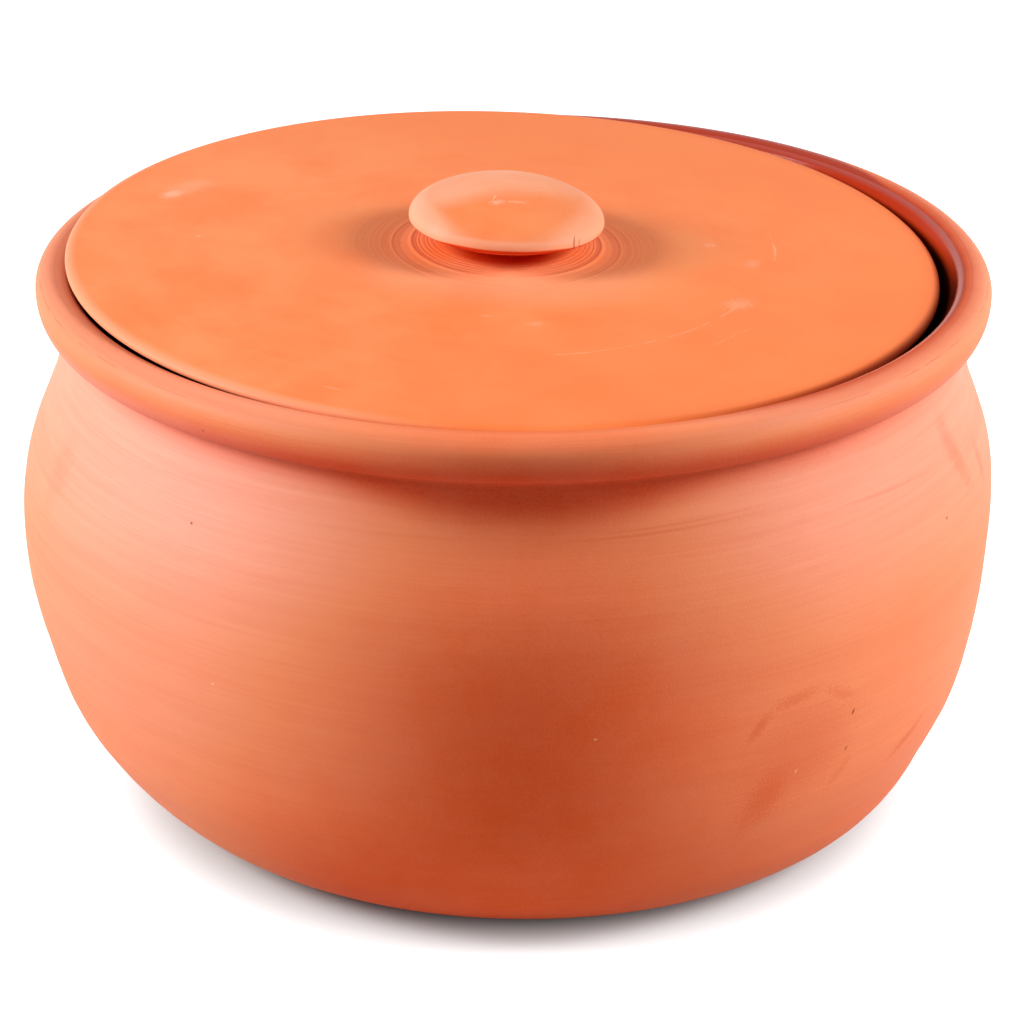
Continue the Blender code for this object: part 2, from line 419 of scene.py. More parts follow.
# %% Lid mesh
FLAT_RADIUS = LID_RADIUS - LID_ROUND
TRIM = 1.3 * MM
TRIM_START = 80 * MM
NEAR_KNOB = 24.5 * MM
RINGS_END = 37 * MM
UNDERSIDE_SPACING = 4 * MM
LID_RINGS = [
    (26.9, 0.080, 0.35),
    (28.2, -0.015, 0.30),
    (29.4, 0.030, 0.30),
    (30.8, 0.020, 0.22),
    (32, 0.022, 0.25),
    (34, 0.012, 0.25),
    (35.6, 0.010, 0.35),
    (47, 0.04, 2),
    (61, -0.04, 2.5),
    (78, 0.05, 3),
]


def lid_top(radius):
    """Height of the disc's upper face over the middle of its edge."""
    return LID_EDGE / 2 + LID_DOME * (1 - (radius / FLAT_RADIUS) ** 2)


def lid_line():
    """The disc's outline, from the middle of its top over the edge to the middle below."""
    under_knob = np.linspace(0, NEAR_KNOB, 12)
    among_rings = np.linspace(NEAR_KNOB, RINGS_END, 126)
    beyond = np.linspace(RINGS_END, FLAT_RADIUS, 60)
    radii = np.concatenate([under_knob, among_rings, beyond])
    top = ringed(joined([(radius, lid_top(radius)) for radius in radii]), 0, LID_RINGS)
    edge = oval((FLAT_RADIUS, 0), LID_ROUND, LID_EDGE / 2, 90, -90, 36)
    middle_below = (0, lid_top(0) - LID_THICKNESS)
    below = evenly([(FLAT_RADIUS, -LID_EDGE / 2), middle_below], UNDERSIDE_SPACING)
    return joined(top, edge, below)


def trimmed(points):
    """Moves the points of the disc as the knife left it, a little short on the right."""
    x, y, z = points.T.copy()
    radius = np.hypot(x, y)
    outer = eased((radius - TRIM_START) / (LID_RADIUS - TRIM_START))
    return np.stack([x - TRIM * outer * np.clip(x / LID_RADIUS, 0, 1) ** 2, y, z], axis=1)


lid = turned("lid", lid_line(), LID_STEPS)
reshape(lid, trimmed)

# %% [markdown]
# ## The knob
# A lump of clay is stuck on with slip and thrown into a mushroom: a domed cap with a thin edge,
# undercut for the fingers, a short waist, and a mound of slip that was trimmed in fine steps.
# The steps and the one proud ridge near the mound's edge are part of the outline. The cap was
# pressed a little lower on one side, which a rule does afterwards.

# %% Knob mesh
CAP_RADIUS = 22.9 * MM
CAP_DOME = 7.8 * MM
CAP_EDGE = 0.55 * MM
CAP_EDGE_ROUND = 0.65 * MM
CAP_LIP_WIDTH = 3.4 * MM
CAP_LIP_DEPTH = 2.2 * MM
CAP_LEAN = 0.6 * MM
CAP_SPACING = 0.5 * MM
KNOB_ASIDE = -0.2 * MM
WAIST_RADIUS = 12.8 * MM
WAIST_HEIGHT = 2.7 * MM
WAIST_FILLET = 1 * MM
MOUND_RADIUS = 25 * MM
MOUND_RISE = 1.9 * MM
MOUND_TOP = lid_top(WAIST_RADIUS) + LAYER_GAP + MOUND_RISE
MOUND_SINK = 0.02 * MM
MOUND_FLOOR = 0.3 * MM
MOUND_SPACING = 0.1 * MM
MOUND_RINGS = [
    (15.4, -0.05, 0.20),
    (17.3, -0.07, 0.18),
    (18.4, -0.08, 0.18),
    (19.2, -0.07, 0.16),
    (20.3, -0.09, 0.18),
    (21.1, -0.07, 0.16),
    (22.4, 0.24, 0.50),
]


def knob_line():
    """The knob's outline, from the top of the cap down to the mound's edge and under it."""
    under = MOUND_TOP + WAIST_HEIGHT
    widest = under + CAP_LIP_DEPTH
    mound_edge = (MOUND_RADIUS, lid_top(MOUND_RADIUS) - MOUND_SINK)
    waist_high = (WAIST_RADIUS, under)
    waist_low = (WAIST_RADIUS, MOUND_TOP)
    cap = evenly(oval((0, widest), CAP_RADIUS, CAP_DOME, 90, 0, 48), CAP_SPACING)
    under_edge = (CAP_RADIUS - CAP_LIP_WIDTH, widest - CAP_LIP_DEPTH)
    lip = rounded((CAP_RADIUS, widest), (CAP_RADIUS, widest - CAP_EDGE), under_edge, CAP_EDGE_ROUND)
    lip += rounded(lip[-1], under_edge, waist_high, 2 * CAP_EDGE_ROUND)
    high = rounded(lip[-1], waist_high, waist_low, WAIST_FILLET)
    low = rounded(waist_high, waist_low, mound_edge, WAIST_FILLET)
    mound = ringed(evenly([low[-1], mound_edge], MOUND_SPACING), 0, MOUND_RINGS)
    floor_radii = [MOUND_RADIUS * i / 3 for i in (3, 2, 1, 0)]
    floor = [(radius, lid_top(radius) - MOUND_FLOOR) for radius in floor_radii]
    return joined(cap, lip, high, low, mound, floor)


def pressed(points):
    """Moves the points of the knob as a thumb pressed it, lower on the right."""
    x, y, z = points.T.copy()
    on_cap = eased((z - MOUND_TOP) / CAP_LIP_DEPTH)
    return np.stack([x + KNOB_ASIDE * on_cap, y, z - CAP_LEAN * on_cap * eased(x / CAP_RADIUS)], axis=1)


knob = turned("knob", knob_line(), KNOB_STEPS)
reshape(knob, pressed)

lid_place = Matrix.Translation(LID_PLACE) @ Euler(LID_TILT).to_matrix().to_4x4()
for piece in (lid, knob):
    piece.matrix_world = lid_place
print("lid middle at", [round(v / MM, 2) for v in lid_place.translation])

# %% [markdown]
# ## Nodes in few words
# A node tree is easier to read as a list of steps. `place` adds one node with its options and
# inputs, where an input is a number, a colour or another node's output. The rest are the few
# nodes that clay needs over and over: sums, eased spans, mixes and noise. Spans are kept below
# as named rows: where the span starts and ends, in millimetres or in degrees round the pot, and
# then the values at its two ends where they aren't 0 and 1. `group` starts a node group with
# named sockets, so that one effect can serve several materials.

# %% Node helpers
FLOAT, VECTOR, COLOUR = "NodeSocketFloat", "NodeSocketVector", "NodeSocketColor"
PLACES = [("Position", VECTOR, None), ("Flat Position", VECTOR, None)]


def around(degrees):
    """How far round the wall a place lies, for an angle from the front, positive to the right."""
    return math.radians(degrees) * BELLY_RADIUS


class Steps:
    """Writes a node tree step by step. Each step gives the output that later steps take in."""

    def __init__(self, tree):
        self.tree = tree

    def feed(self, node, inputs):
        """Sets or links a node's inputs, by name or number."""
        for key, value in inputs.items():
            if isinstance(value, bpy.types.NodeSocket):
                self.tree.links.new(value, node.inputs[key])
            else:
                node.inputs[key].default_value = value

    def place(self, kind, inputs, **options):
        """The outputs of a new node."""
        node = self.tree.nodes.new(kind)
        for name, value in options.items():
            setattr(node, name, value)
        self.feed(node, inputs)
        return node.outputs

    def use(self, effect, inputs):
        """The outputs of a node group, with its own values."""
        return self.place("ShaderNodeGroup", inputs, node_tree=effect)

    def calc(self, operation, *values):
        """A Math node. Values past the second go into more nodes, unless the sum takes three."""
        if len(values) > 2 and operation != "MULTIPLY_ADD":
            values = (self.calc(operation, *values[:-1]), values[-1])
        return self.place("ShaderNodeMath", dict(enumerate(values)), operation=operation)[0]

    def times(self, *values):
        """All the values multiplied."""
        return self.calc("MULTIPLY", *values)

    def most(self, *values):
        """The largest of the values."""
        return self.calc("MAXIMUM", *values)

    def less(self, value, other):
        """One value less another."""
        return self.calc("SUBTRACT", value, other)

    def size(self, value):
        """A value without its sign."""
        return self.calc("ABSOLUTE", value)

    def scaled(self, value, factor, start):
        """A value times a factor, on top of a start."""
        return self.calc("MULTIPLY_ADD", value, factor, start)

    def ramp(self, value, low, high, to_low=0, to_high=1):
        """A value eased from one range to another, and held at the ends."""
        inputs = {"Value": value, "From Min": low, "From Max": high, "To Min": to_low, "To Max": to_high}
        return self.place("ShaderNodeMapRange", inputs, interpolation_type="SMOOTHSTEP")[0]

    def ramp_mm(self, value, low, high, to_low=0, to_high=1):
        """The same, with the range in millimetres."""
        return self.ramp(value, low * MM, high * MM, to_low, to_high)

    def ramp_round(self, way, start, end, to_start=0, to_end=1):
        """The same, with the range in degrees round the wall."""
        return self.ramp(way, around(start), around(end), to_start, to_end)

    def between(self, factor, low, high):
        """Two numbers mixed by a factor."""
        return self.place("ShaderNodeMix", {0: factor, 2: low, 3: high})[0]

    def mixed(self, factor, colour, other):
        """Two colours mixed by a factor."""
        return self.place("ShaderNodeMix", {0: factor, 6: colour, 7: other}, data_type="RGBA")[2]

    def layered(self, colour, *layers):
        """A colour with others laid over it in turn, each by its own mask."""
        for mask, other in layers:
            colour = self.mixed(mask, colour, other)
        return colour

    def noise(self, vector, scale, detail=2, roughness=0.5):
        """A noise value from 0 to 1."""
        inputs = {"Vector": vector, "Scale": scale, "Detail": detail, "Roughness": roughness}
        return self.place("ShaderNodeTexNoise", inputs)["Fac"]

    def vector(self, operation, *values):
        """A Vector Math node that gives a vector."""
        return self.place("ShaderNodeVectorMath", dict(enumerate(values)), operation=operation)["Vector"]

    def length(self, vector):
        """The length of a vector."""
        return self.place("ShaderNodeVectorMath", {0: vector}, operation="LENGTH")["Value"]

    def split(self, vector):
        """A vector's parts, by the names X, Y and Z."""
        return self.place("ShaderNodeSeparateXYZ", {0: vector})

    def join(self, **parts):
        """A vector made of its parts."""
        return self.place("ShaderNodeCombineXYZ", parts)[0]

    def from_axis(self, position):
        """A position's parts, the position laid flat, and its distance from the turning axis."""
        parts = self.split(position)
        flat = self.join(X=parts["X"], Y=parts["Y"])
        return parts, flat, self.length(flat)

    def bump(self, height, distance, strength=1):
        """A normal tipped by a height."""
        return self.place("ShaderNodeBump", {"Height": height, "Distance": distance, "Strength": strength})[0]


def group(name, inputs, outputs):
    """A node group with named sockets: its steps, its inputs and its output node."""
    tree = bpy.data.node_groups.new(name, "ShaderNodeTree")
    for title, kind, value in inputs:
        socket = tree.interface.new_socket(title, in_out="INPUT", socket_type=kind)
        if value is not None:
            socket.default_value = value
    for title, kind in outputs:
        tree.interface.new_socket(title, in_out="OUTPUT", socket_type=kind)
    return Steps(tree), tree.nodes.new("NodeGroupInput").outputs, tree.nodes.new("NodeGroupOutput")


# %% [markdown]
# ## Turning marks
# Wet clay under a finger or a rib takes fine lines that run round the piece. On a wall they lie
# at one height, on a disc at one radius. The group stretches a noise along the turning: it
# varies quickly across the lines and hardly at all along them. `Disc` chooses between the two.

# %% Turning marks group
STREAK_STRETCH = 0.12


def make_turning_marks():
    """Fine lines round the axis, as a height and as streaks of colour."""
    steps, given, result = group(
        "turning_marks",
        [("Position", VECTOR, None), ("Disc", FLOAT, 0), ("Spacing", FLOAT, 0.8 * MM),
         ("Wander", FLOAT, 1.5)],
        [("Height", FLOAT), ("Streaks", FLOAT)])
    parts, flat, radius = steps.from_axis(given["Position"])
    wander = {0: steps.vector("NORMALIZE", flat), "Scale": given["Wander"]}
    way = steps.place("ShaderNodeVectorMath", wander, operation="SCALE")[0]
    across = steps.between(given["Disc"], parts["Z"], radius)
    fine = steps.vector("ADD", way, steps.join(Z=steps.calc("DIVIDE", across, given["Spacing"])))
    coarse = steps.vector("MULTIPLY", fine, (1, 1, STREAK_STRETCH))
    streaks = steps.ramp(steps.noise(coarse, 1, 4, 0.7), 0.3, 0.7)
    steps.feed(result, {"Height": steps.noise(fine, 1, 3, 0.65), "Streaks": streaks})
    return steps.tree


turning_marks = make_turning_marks()

# %% [markdown]
# ## Clay grain
# Fired terracotta is matte because its surface is a fine sand of grog. A Voronoi texture gives
# the grains, a soft noise gives the mottling of the firing, and in coarser cells a chosen few
# become pale specks or small pits. Bump is right for the grains: they are a third of a
# millimetre across.

# %% Clay grain group
SPECK_CELLS = 95
SPECK_EDGE = (0.030, 0.016)
PIT_EDGE = (0.035, 0.012)
PITTED_ABOVE = 0.97


def make_clay_grain():
    """Sand grains as a height, slow mottling, pale specks and small dark pits."""
    steps, given, result = group(
        "clay_grain",
        [("Position", VECTOR, None), ("Grain", FLOAT, 0.35 * MM), ("Mottle", FLOAT, 22 * MM),
         ("Specks", FLOAT, 0.5)],
        [("Height", FLOAT), ("Mottling", FLOAT), ("Specks", FLOAT), ("Pits", FLOAT)])
    position = given["Position"]
    fineness = steps.calc("DIVIDE", 1, given["Grain"])
    sand = steps.place("ShaderNodeTexVoronoi", {"Vector": position, "Scale": fineness})
    dust = steps.noise(position, steps.times(fineness, 0.6), 3, 0.7)
    mottling = steps.noise(position, steps.calc("DIVIDE", 1, given["Mottle"]), 5, 0.62)
    cells = steps.place("ShaderNodeTexVoronoi", {"Vector": position, "Scale": SPECK_CELLS})
    lot = steps.place("ShaderNodeSeparateColor", {0: cells["Color"]})[0]
    speckled = steps.calc("LESS_THAN", lot, given["Specks"])
    pitted = steps.calc("GREATER_THAN", lot, PITTED_ABOVE)
    steps.feed(result, {
        "Height": steps.scaled(sand["Distance"], -0.45, steps.calc("ADD", dust, 0.3)),
        "Mottling": steps.ramp(mottling, 0.32, 0.68),
        "Specks": steps.times(steps.ramp(cells["Distance"], *SPECK_EDGE), speckled),
        "Pits": steps.times(steps.ramp(cells["Distance"], *PIT_EDGE), pitted)})
    return steps.tree


clay_grain = make_clay_grain()

# %% [markdown]
# ## Smudges
# Handling leaves marks: a rubbed patch, a pale scrape, a drag of a sleeve in wet slip. Each is
# an oval in the surface's own flat coordinates, broken up by noise so that its border is never
# clean. One group makes them all; its values give the place, the half sizes and the lean.

# %% Smudge group
SMUDGE_EDGE = (1.15, 0.2)


def make_smudge():
    """A soft oval mask with a broken border, in flat coordinates in metres."""
    steps, given, result = group(
        "smudge",
        [("Flat Position", VECTOR, None), ("Centre", VECTOR, (0, 0, 0)),
         ("Half Length", FLOAT, 10 * MM), ("Half Width", FLOAT, 5 * MM), ("Lean", FLOAT, 0),
         ("Break-up", FLOAT, 0.5), ("Texture", FLOAT, 2 * MM), ("Strength", FLOAT, 1)],
        [("Mask", FLOAT)])
    away = steps.vector("SUBTRACT", given["Flat Position"], given["Centre"])
    turn = {"Vector": away, "Angle": steps.times(given["Lean"], -1)}
    parts = steps.split(steps.place("ShaderNodeVectorRotate", turn, rotation_type="Z_AXIS")[0])
    u = steps.calc("DIVIDE", parts["X"], given["Half Length"])
    v = steps.calc("DIVIDE", parts["Y"], given["Half Width"])
    reach = steps.calc("SQRT", steps.scaled(u, u, steps.times(v, v)))
    rough = steps.noise(given["Flat Position"], steps.calc("DIVIDE", 1, given["Texture"]), 5, 0.65)
    rough = steps.times(steps.less(rough, 0.5), given["Break-up"])
    mask = steps.ramp(steps.scaled(rough, 3, reach), *SMUDGE_EDGE)
    steps.feed(result, {"Mask": steps.times(mask, given["Strength"])})
    return steps.tree


smudge = make_smudge()

# %% [markdown]
# ## Scratches
# A grain of sand caught under a tool or a stacked lid draws a hair-thin arc round the axis. The
# group keeps a narrow band of radius, which may drift along the way, between two angles, and
# noise makes the line skip. It could be a curve object, but a mask can't come off the surface.

# %% Scratch group
SCRATCH_WOBBLE = 1.2 * MM


def make_scratch():
    """A thin arc round the axis, as a mask. Angles are in radians from +X."""
    steps, given, result = group(
        "scratch",
        [("Flat Position", VECTOR, None), ("Radius", FLOAT, 50 * MM), ("Drift", FLOAT, 0),
         ("Middle", FLOAT, 0), ("Half Turn", FLOAT, 0.4), ("Width", FLOAT, 0.4 * MM),
         ("Strength", FLOAT, 1)],
        [("Mask", FLOAT)])
    parts, flat, radius = steps.from_axis(given["Flat Position"])
    turn = steps.less(steps.calc("ARCTAN2", parts["Y"], parts["X"]), given["Middle"])
    centre = steps.scaled(turn, given["Drift"], given["Radius"])
    wobble = steps.less(steps.noise(flat, 70), 0.5)
    off = steps.size(steps.less(steps.scaled(wobble, SCRATCH_WOBBLE, radius), centre))
    across = steps.ramp(steps.calc("DIVIDE", off, given["Width"]), 1, 0.2)
    along = steps.calc("DIVIDE", steps.size(turn), given["Half Turn"])
    skips = steps.ramp(steps.noise(flat, 260), 0.38, 0.58)
    mask = steps.times(across, steps.ramp(along, 1, 0.8), skips, given["Strength"])
    steps.feed(result, {"Mask": mask})
    return steps.tree


scratch = make_scratch()


def strongest(steps, effect, flat, rows):
    """The strongest of many marks at each place. A row is a mark's values by socket name."""
    masks = [steps.use(effect, {"Flat Position": flat, **row})[0] for row in rows]
    return functools.reduce(steps.most, masks)


def mark(across, up, length, width, lean, strength, breaking=0.4, texture=1.5):
    """A smudge's values, with sizes in millimetres and the lean in degrees."""
    return {"Centre": (across * MM, up * MM, 0), "Half Length": length * MM, "Half Width": width * MM,
            "Lean": math.radians(lean), "Strength": strength, "Break-up": breaking, "Texture": texture * MM}


def arc(radius, end_radius, start, end, strength, width=0.35):
    """A scratch's values, from one radius and angle to another, in millimetres and degrees."""
    turn = math.radians(end - start)
    return {"Radius": (radius + end_radius) / 2 * MM, "Drift": (end_radius - radius) * MM / turn,
            "Middle": math.radians(start + end) / 2, "Half Turn": turn / 2, "Width": width * MM,
            "Strength": strength}


# %% [markdown]
# ## Flat coordinates
# The pot's wall is unrolled for its marks: X is the way round from the front, in metres along
# the belly, and Y is the height. The seam of the unrolling is at the back, so whatever depends
# on the way round has to be the same at both of its ends. The lid is flat already, so its own X
# and Y serve.

# %% Unrolled wall group


def way_round(steps, parts):
    """How far round the wall a position's parts lie, from the front, in metres along the belly."""
    turn = steps.calc("ARCTAN2", parts["X"], steps.times(parts["Y"], -1))
    return steps.times(turn, BELLY_RADIUS)


def make_unrolled():
    """The wall unrolled: the way round from the front, and the height."""
    steps, given, result = group("unrolled_wall", [("Position", VECTOR, None)], [("Flat Position", VECTOR)])
    parts = steps.split(given["Position"])
    steps.feed(result, {"Flat Position": steps.join(X=way_round(steps, parts), Y=parts["Z"])})
    return steps.tree


unrolled_wall = make_unrolled()

# %% [markdown]
# ## The kiln's colours, with painted light and shade
# The side that faced the fire flashed a deep red-orange, lowest and strongest in front, and that
# red front is partly painted shade, where the middle of the pot falls between the two side lamps.
# The clay turns warm and then chalky round the flanks and up the shoulder, partly a real bloom and
# partly painted light where the lamps light the cheeks and the upper shoulder. Near the foot the
# warm tone starts further round. The hollow under the rim is darkest: partly thin slip that fired
# dark and partly painted shade under the bead. The rim itself goes from warm in front to paler on
# its flanks, partly painted light as well. Four colours and the place on the wall give all of it,
# so the group serves the clay and the glaze's bare border alike. A slow noise keeps the borders of
# the flash and its painted shade from being even.

# %% Fired clay group, with painted light and shade
# The flashed colour is partly the kiln's flash and partly painted shade on the front. The chalky colour is
# partly bloom and partly painted light on the lit flanks.
FLASH_AND_SHADE = (0.820, 0.084, 0.003, 1)
WARM = (0.922, 0.266, 0.112, 1)
CHALKY_AND_LIT = (0.950, 0.420, 0.320, 1)
# The hollow's colour is painted shade under the bead, over a little dark slip.
HOLLOW_SHADE = (0.690, 0.044, 0.003, 1)

FLASH_SHADE_WANDER = around(7)
FLASH_SHADE_MIDDLE = around(2)
LEFT_PALES = (4, -42, 0, 0.64)
LEFT_REDDENS = (-52, -85, 0, 0.16)
LEFT_FOOT = (-14, -50, -0.15, 0.75)
LEFT_RISE = (8, 66)
RIGHT_PALES = (2, 42, 0, 0.48)
RIGHT_BACK = (75, 140)
RIGHT_FOOT = 0.50
RIGHT_FOOT_BACK = 0.25
RIGHT_RISE_START = 8 * MM
RIGHT_RISE_END = 46 * MM
RIGHT_RISE_BACK = 20 * MM
# The shoulder, and the rim on its flanks, pale partly as painted light where the lamps light them.
SHOULDER_PALES = (68, 110, 0, 0.29)
HEEL_PALES = (42, 14, 0, 0.035)
RIM_PALES = (5, 32, 0.35, 0.62)
RIM_UNDER = (124, 133, 0.60, 1)
RIM_START = (123, 128)
HOLLOW_START = (6, 30, 107.5 * MM, 113 * MM)
HOLLOW_SOFTNESS = 9 * MM
HOLLOW_END = (129.5, 123.5)
HOLLOW_FRONT = (92, 16, 0, 0.88)


def flank_paleness(steps, way, height):
    """How far the clay has turned from flashed to chalky on the left and right flanks, partly as painted
    light where the lamps light them.
    """
    left = steps.less(steps.ramp_round(way, *LEFT_PALES), steps.ramp_round(way, *LEFT_REDDENS))
    risen = steps.ramp_mm(height, *LEFT_RISE)
    left = steps.times(left, steps.between(risen, steps.ramp_round(way, *LEFT_FOOT), 1))
    back = steps.ramp_round(way, *RIGHT_BACK)
    risen = steps.ramp(height, RIGHT_RISE_START, steps.scaled(back, RIGHT_RISE_BACK, RIGHT_RISE_END))
    foot = steps.scaled(back, RIGHT_FOOT_BACK, RIGHT_FOOT)
    right = steps.times(steps.ramp_round(way, *RIGHT_PALES), steps.between(risen, foot, 1))
    return steps.most(left, 0, right)


def round_flash_and_shade(steps, position, way):
    """The way round, swayed by a slow noise, and how far that is from the middle of the flash and its painted
    shade.
    """
    cloud = steps.less(steps.noise(position, 11, 2, 0.4), 0.5)
    way = steps.scaled(cloud, FLASH_SHADE_WANDER, way)
    return way, steps.size(steps.less(way, FLASH_SHADE_MIDDLE))


def dark_hollow(steps, side, height):
    """Where the hollow under the rim is darkest: painted shade under the bead, over a little dark slip."""
    above_start = steps.less(height, steps.ramp_round(side, *HOLLOW_START))
    return steps.times(steps.ramp(above_start, 0, HOLLOW_SOFTNESS),
                       steps.ramp_mm(height, *HOLLOW_END), steps.ramp_round(side, *HOLLOW_FRONT))


def make_fired_clay_with_light():
    """The clay's fired colour by its place on the pot, with painted shade in front and under the rim and
    painted light on the flanks.
    """
    steps, given, result = group(
        "fired_clay_with_light",
        PLACES + [("Flash And Shade", COLOUR, FLASH_AND_SHADE), ("Warm", COLOUR, WARM), ("Chalky And Lit", COLOUR, CHALKY_AND_LIT),
                  ("Hollow Shade", COLOUR, HOLLOW_SHADE)],
        [("Colour", COLOUR)])
    parts = steps.split(given["Flat Position"])
    height = parts["Y"]
    way, side = round_flash_and_shade(steps, given["Position"], parts["X"])
    # Painted light and shade: the flanks and the shoulder go pale where the lamps light them, and the front
    # stays flashed where shade falls.
    wall = steps.calc("ADD", flank_paleness(steps, way, height),
                      steps.ramp_mm(height, *SHOULDER_PALES), steps.ramp_mm(height, *HEEL_PALES))
    rim = steps.times(steps.ramp_round(side, *RIM_PALES), steps.ramp_mm(height, *RIM_UNDER))
    pale = steps.between(steps.ramp_mm(height, *RIM_START), wall, rim)
    lower = steps.place("ShaderNodeMapRange", {"Value": pale, "From Max": 0.5})[0]
    upper = steps.place("ShaderNodeMapRange", {"Value": pale, "From Min": 0.5})[0]
    colour = steps.mixed(lower, given["Flash And Shade"], given["Warm"])
    colour = steps.mixed(upper, colour, given["Chalky And Lit"])
    # Painted shade under the bead.
    hollow = dark_hollow(steps, side, height)
    steps.feed(result, {"Colour": steps.mixed(hollow, colour, given["Hollow Shade"])})
    return steps.tree


fired_clay_with_light = make_fired_clay_with_light()

# %% [markdown]
# ## The wiped rim
# The glaze was poured inside and wiped off the rim with a thumb. At the back and on the right it
# still covers the lip, in front and on the left the thumb took it all. Beside it the clay is
# stained brown-red, strongly on the right and at the back and faintly in front. One group gives
# both masks by the radius, so the glaze's layer and the clay beyond its edge agree, and the seam
# between the two pieces falls inside the stain.

# %% Wiped rim group
WIPED_CLEAN = 101 * MM
WIPED_LIP = 104.9 * MM
WIPED_CREST = 108.6 * MM
ON_LIP = (45, 75)
ON_CREST = (98, 140)
BACK_LEFT = (-150, -175)
STAIN_FADES = (5, 45)
STAIN_SHIFT = 2.4 * MM
STAIN_INSET = 3.5 * MM
STAIN_EDGE = (7.4, 1.2)
STAIN_IN_FRONT = 0.36
GLAZE_BORDER = (1.3, -0.3)
TOP_FACE = (4.6, 2.4)
BORDER_WANDER = 1 * MM


def make_wiped_rim():
    """Where the glaze still covers the rim's top, and where the clay beside it is stained."""
    steps, given, result = group(
        "wiped_rim",
        PLACES + [("Clean", FLOAT, WIPED_CLEAN), ("Lip", FLOAT, WIPED_LIP),
                  ("Crest", FLOAT, WIPED_CREST), ("Rim Height", FLOAT, RIM_HEIGHT)],
        [("Glazed", FLOAT), ("Stained", FLOAT)])
    clean = given["Clean"]
    parts, flat, radius = steps.from_axis(given["Position"])
    way = steps.split(given["Flat Position"])["X"]
    reach = steps.most(steps.ramp_round(way, *ON_LIP, clean, given["Lip"]),
                       steps.ramp_round(way, *ON_CREST, clean, given["Crest"]),
                       steps.ramp_round(way, *BACK_LEFT, clean, given["Crest"]))
    cloud = steps.less(steps.noise(given["Position"], 120, 3), 0.5)
    clouded = steps.scaled(cloud, BORDER_WANDER, radius)
    on_top = steps.ramp_mm(steps.less(given["Rim Height"], parts["Z"]), *TOP_FACE)
    glazed = steps.ramp_mm(steps.less(clouded, reach), *GLAZE_BORDER)
    to_side = steps.most(steps.ramp_round(way, *STAIN_FADES), steps.ramp_round(way, *BACK_LEFT))
    stain = steps.most(steps.scaled(to_side, STAIN_SHIFT, clean), steps.less(reach, STAIN_INSET))
    stained = steps.ramp_mm(steps.less(clouded, stain), *STAIN_EDGE)
    strength = steps.ramp(to_side, 0, 1, STAIN_IN_FRONT, 1)
    steps.feed(result, {"Glazed": steps.times(glazed, on_top),
                        "Stained": steps.times(stained, on_top, strength)})
    return steps.tree


wiped_rim = make_wiped_rim()

# %% [markdown]
# ## Marks on the wall
# Low on the right a sleeve rubbed the damp wall, with short drags beside it. Three fine lines
# cross the shoulder, five small pits opened where grit fell out, and a few pale specks are
# grazed. Each row below is one of them: the degrees round from the front, the height, the half
# length and half width, the lean, the strength, and how broken and how fine its border is.

# %% Pot marks
PER_DEGREE = around(1) / MM


def wall_marks(rows):
    """Marks on the unrolled wall, with the way round in degrees."""
    return [mark(row[0] * PER_DEGREE, *row[1:]) for row in rows]


WALL_MARKS = wall_marks([
    (35.3, 49.5, 20, 17, 20, 0.34, 0.35, 0.7),
    (31.6, 40.5, 12, 7.5, 60, 0.52, 1, 0.5),
    (29.3, 37, 10, 1.6, 86, 0.26, 0.80, 0.6),
    (29, 59.6, 5.6, 2, 50, 0.42, 0.80, 0.7),
    (33.8, 64.4, 8.6, 2.2, 8, 0.36, 0.80, 0.7),
    (40.4, 62.2, 7.6, 2, -24, 0.30, 0.80, 0.7),
    (36.5, 52.5, 9, 5, 40, 0.20, 1.10, 0.5),
    (42.5, 39.5, 6, 2, 50, 0.22, 0.80, 0.7),
    (56.7, 38.6, 9.5, 1.9, 26, 0.34, 0.55, 0.8),
    (67.5, 102, 13, 4.2, 115, 0.26, 0.55, 1.6),
    (75.5, 94, 6, 2.6, 95, 0.24, 0.50, 1.6),
    (-68, 95, 11, 7, 80, 0.12, 0.30, 4),
    (16.5, 107.6, 31, 0.40, 1.6, 0.24, 0.20, 3),
    (19.5, 109, 27, 0.35, 1.8, 0.20, 0.25, 3),
    (51, 103.6, 20, 0.45, -3, 0.18, 0.25, 3),
])
PITS = wall_marks([
    (42.9, 55.7, 1, 0.40, 70, 1, 0.05),
    (42.9, 45.9, 0.9, 0.30, 62, 0.9, 0.05),
    (61.2, 90.8, 0.5, 0.45, 0, 0.9, 0.05),
    (-40.1, 100.7, 0.5, 0.40, 0, 0.8, 0.05),
    (-37.2, 124.9, 0.5, 0.35, 0, 0.6, 0.05),
])
GRAZES = wall_marks([
    (9.4, 63, 0.5, 0.35, 0, 0.55, 0.05),
    (-34.7, 66.9, 0.5, 0.35, 10, 0.6, 0.05),
    (35.2, 44.6, 0.6, 0.35, 20, 0.6, 0.05),
])
print(len(WALL_MARKS), "smudges,", len(PITS), "pits and", len(GRAZES), "pale specks placed by hand")

# %% [markdown]
# ## Terracotta for the pot
# Over the kiln's colours, with their painted light and shade, come streaks from the turning,
# mottling, the rubbed patches, and last the specks and pits. The pits and the hairline groove in
# the bead are painted darker, as painted shade in them. The same masks feed the roughness, because
# a rubbed patch is rougher, and one Bump node carries the lines, the grains, the pits and the
# groove, which is open on the flanks and all but closed in front. The sheen fades towards the foot
# and in the dark hollow, where the clay stayed sandy and dry. An exported model holds a single
# specular level for each material, so no group feeds it, and the hollow's mask is placed here once
# more.

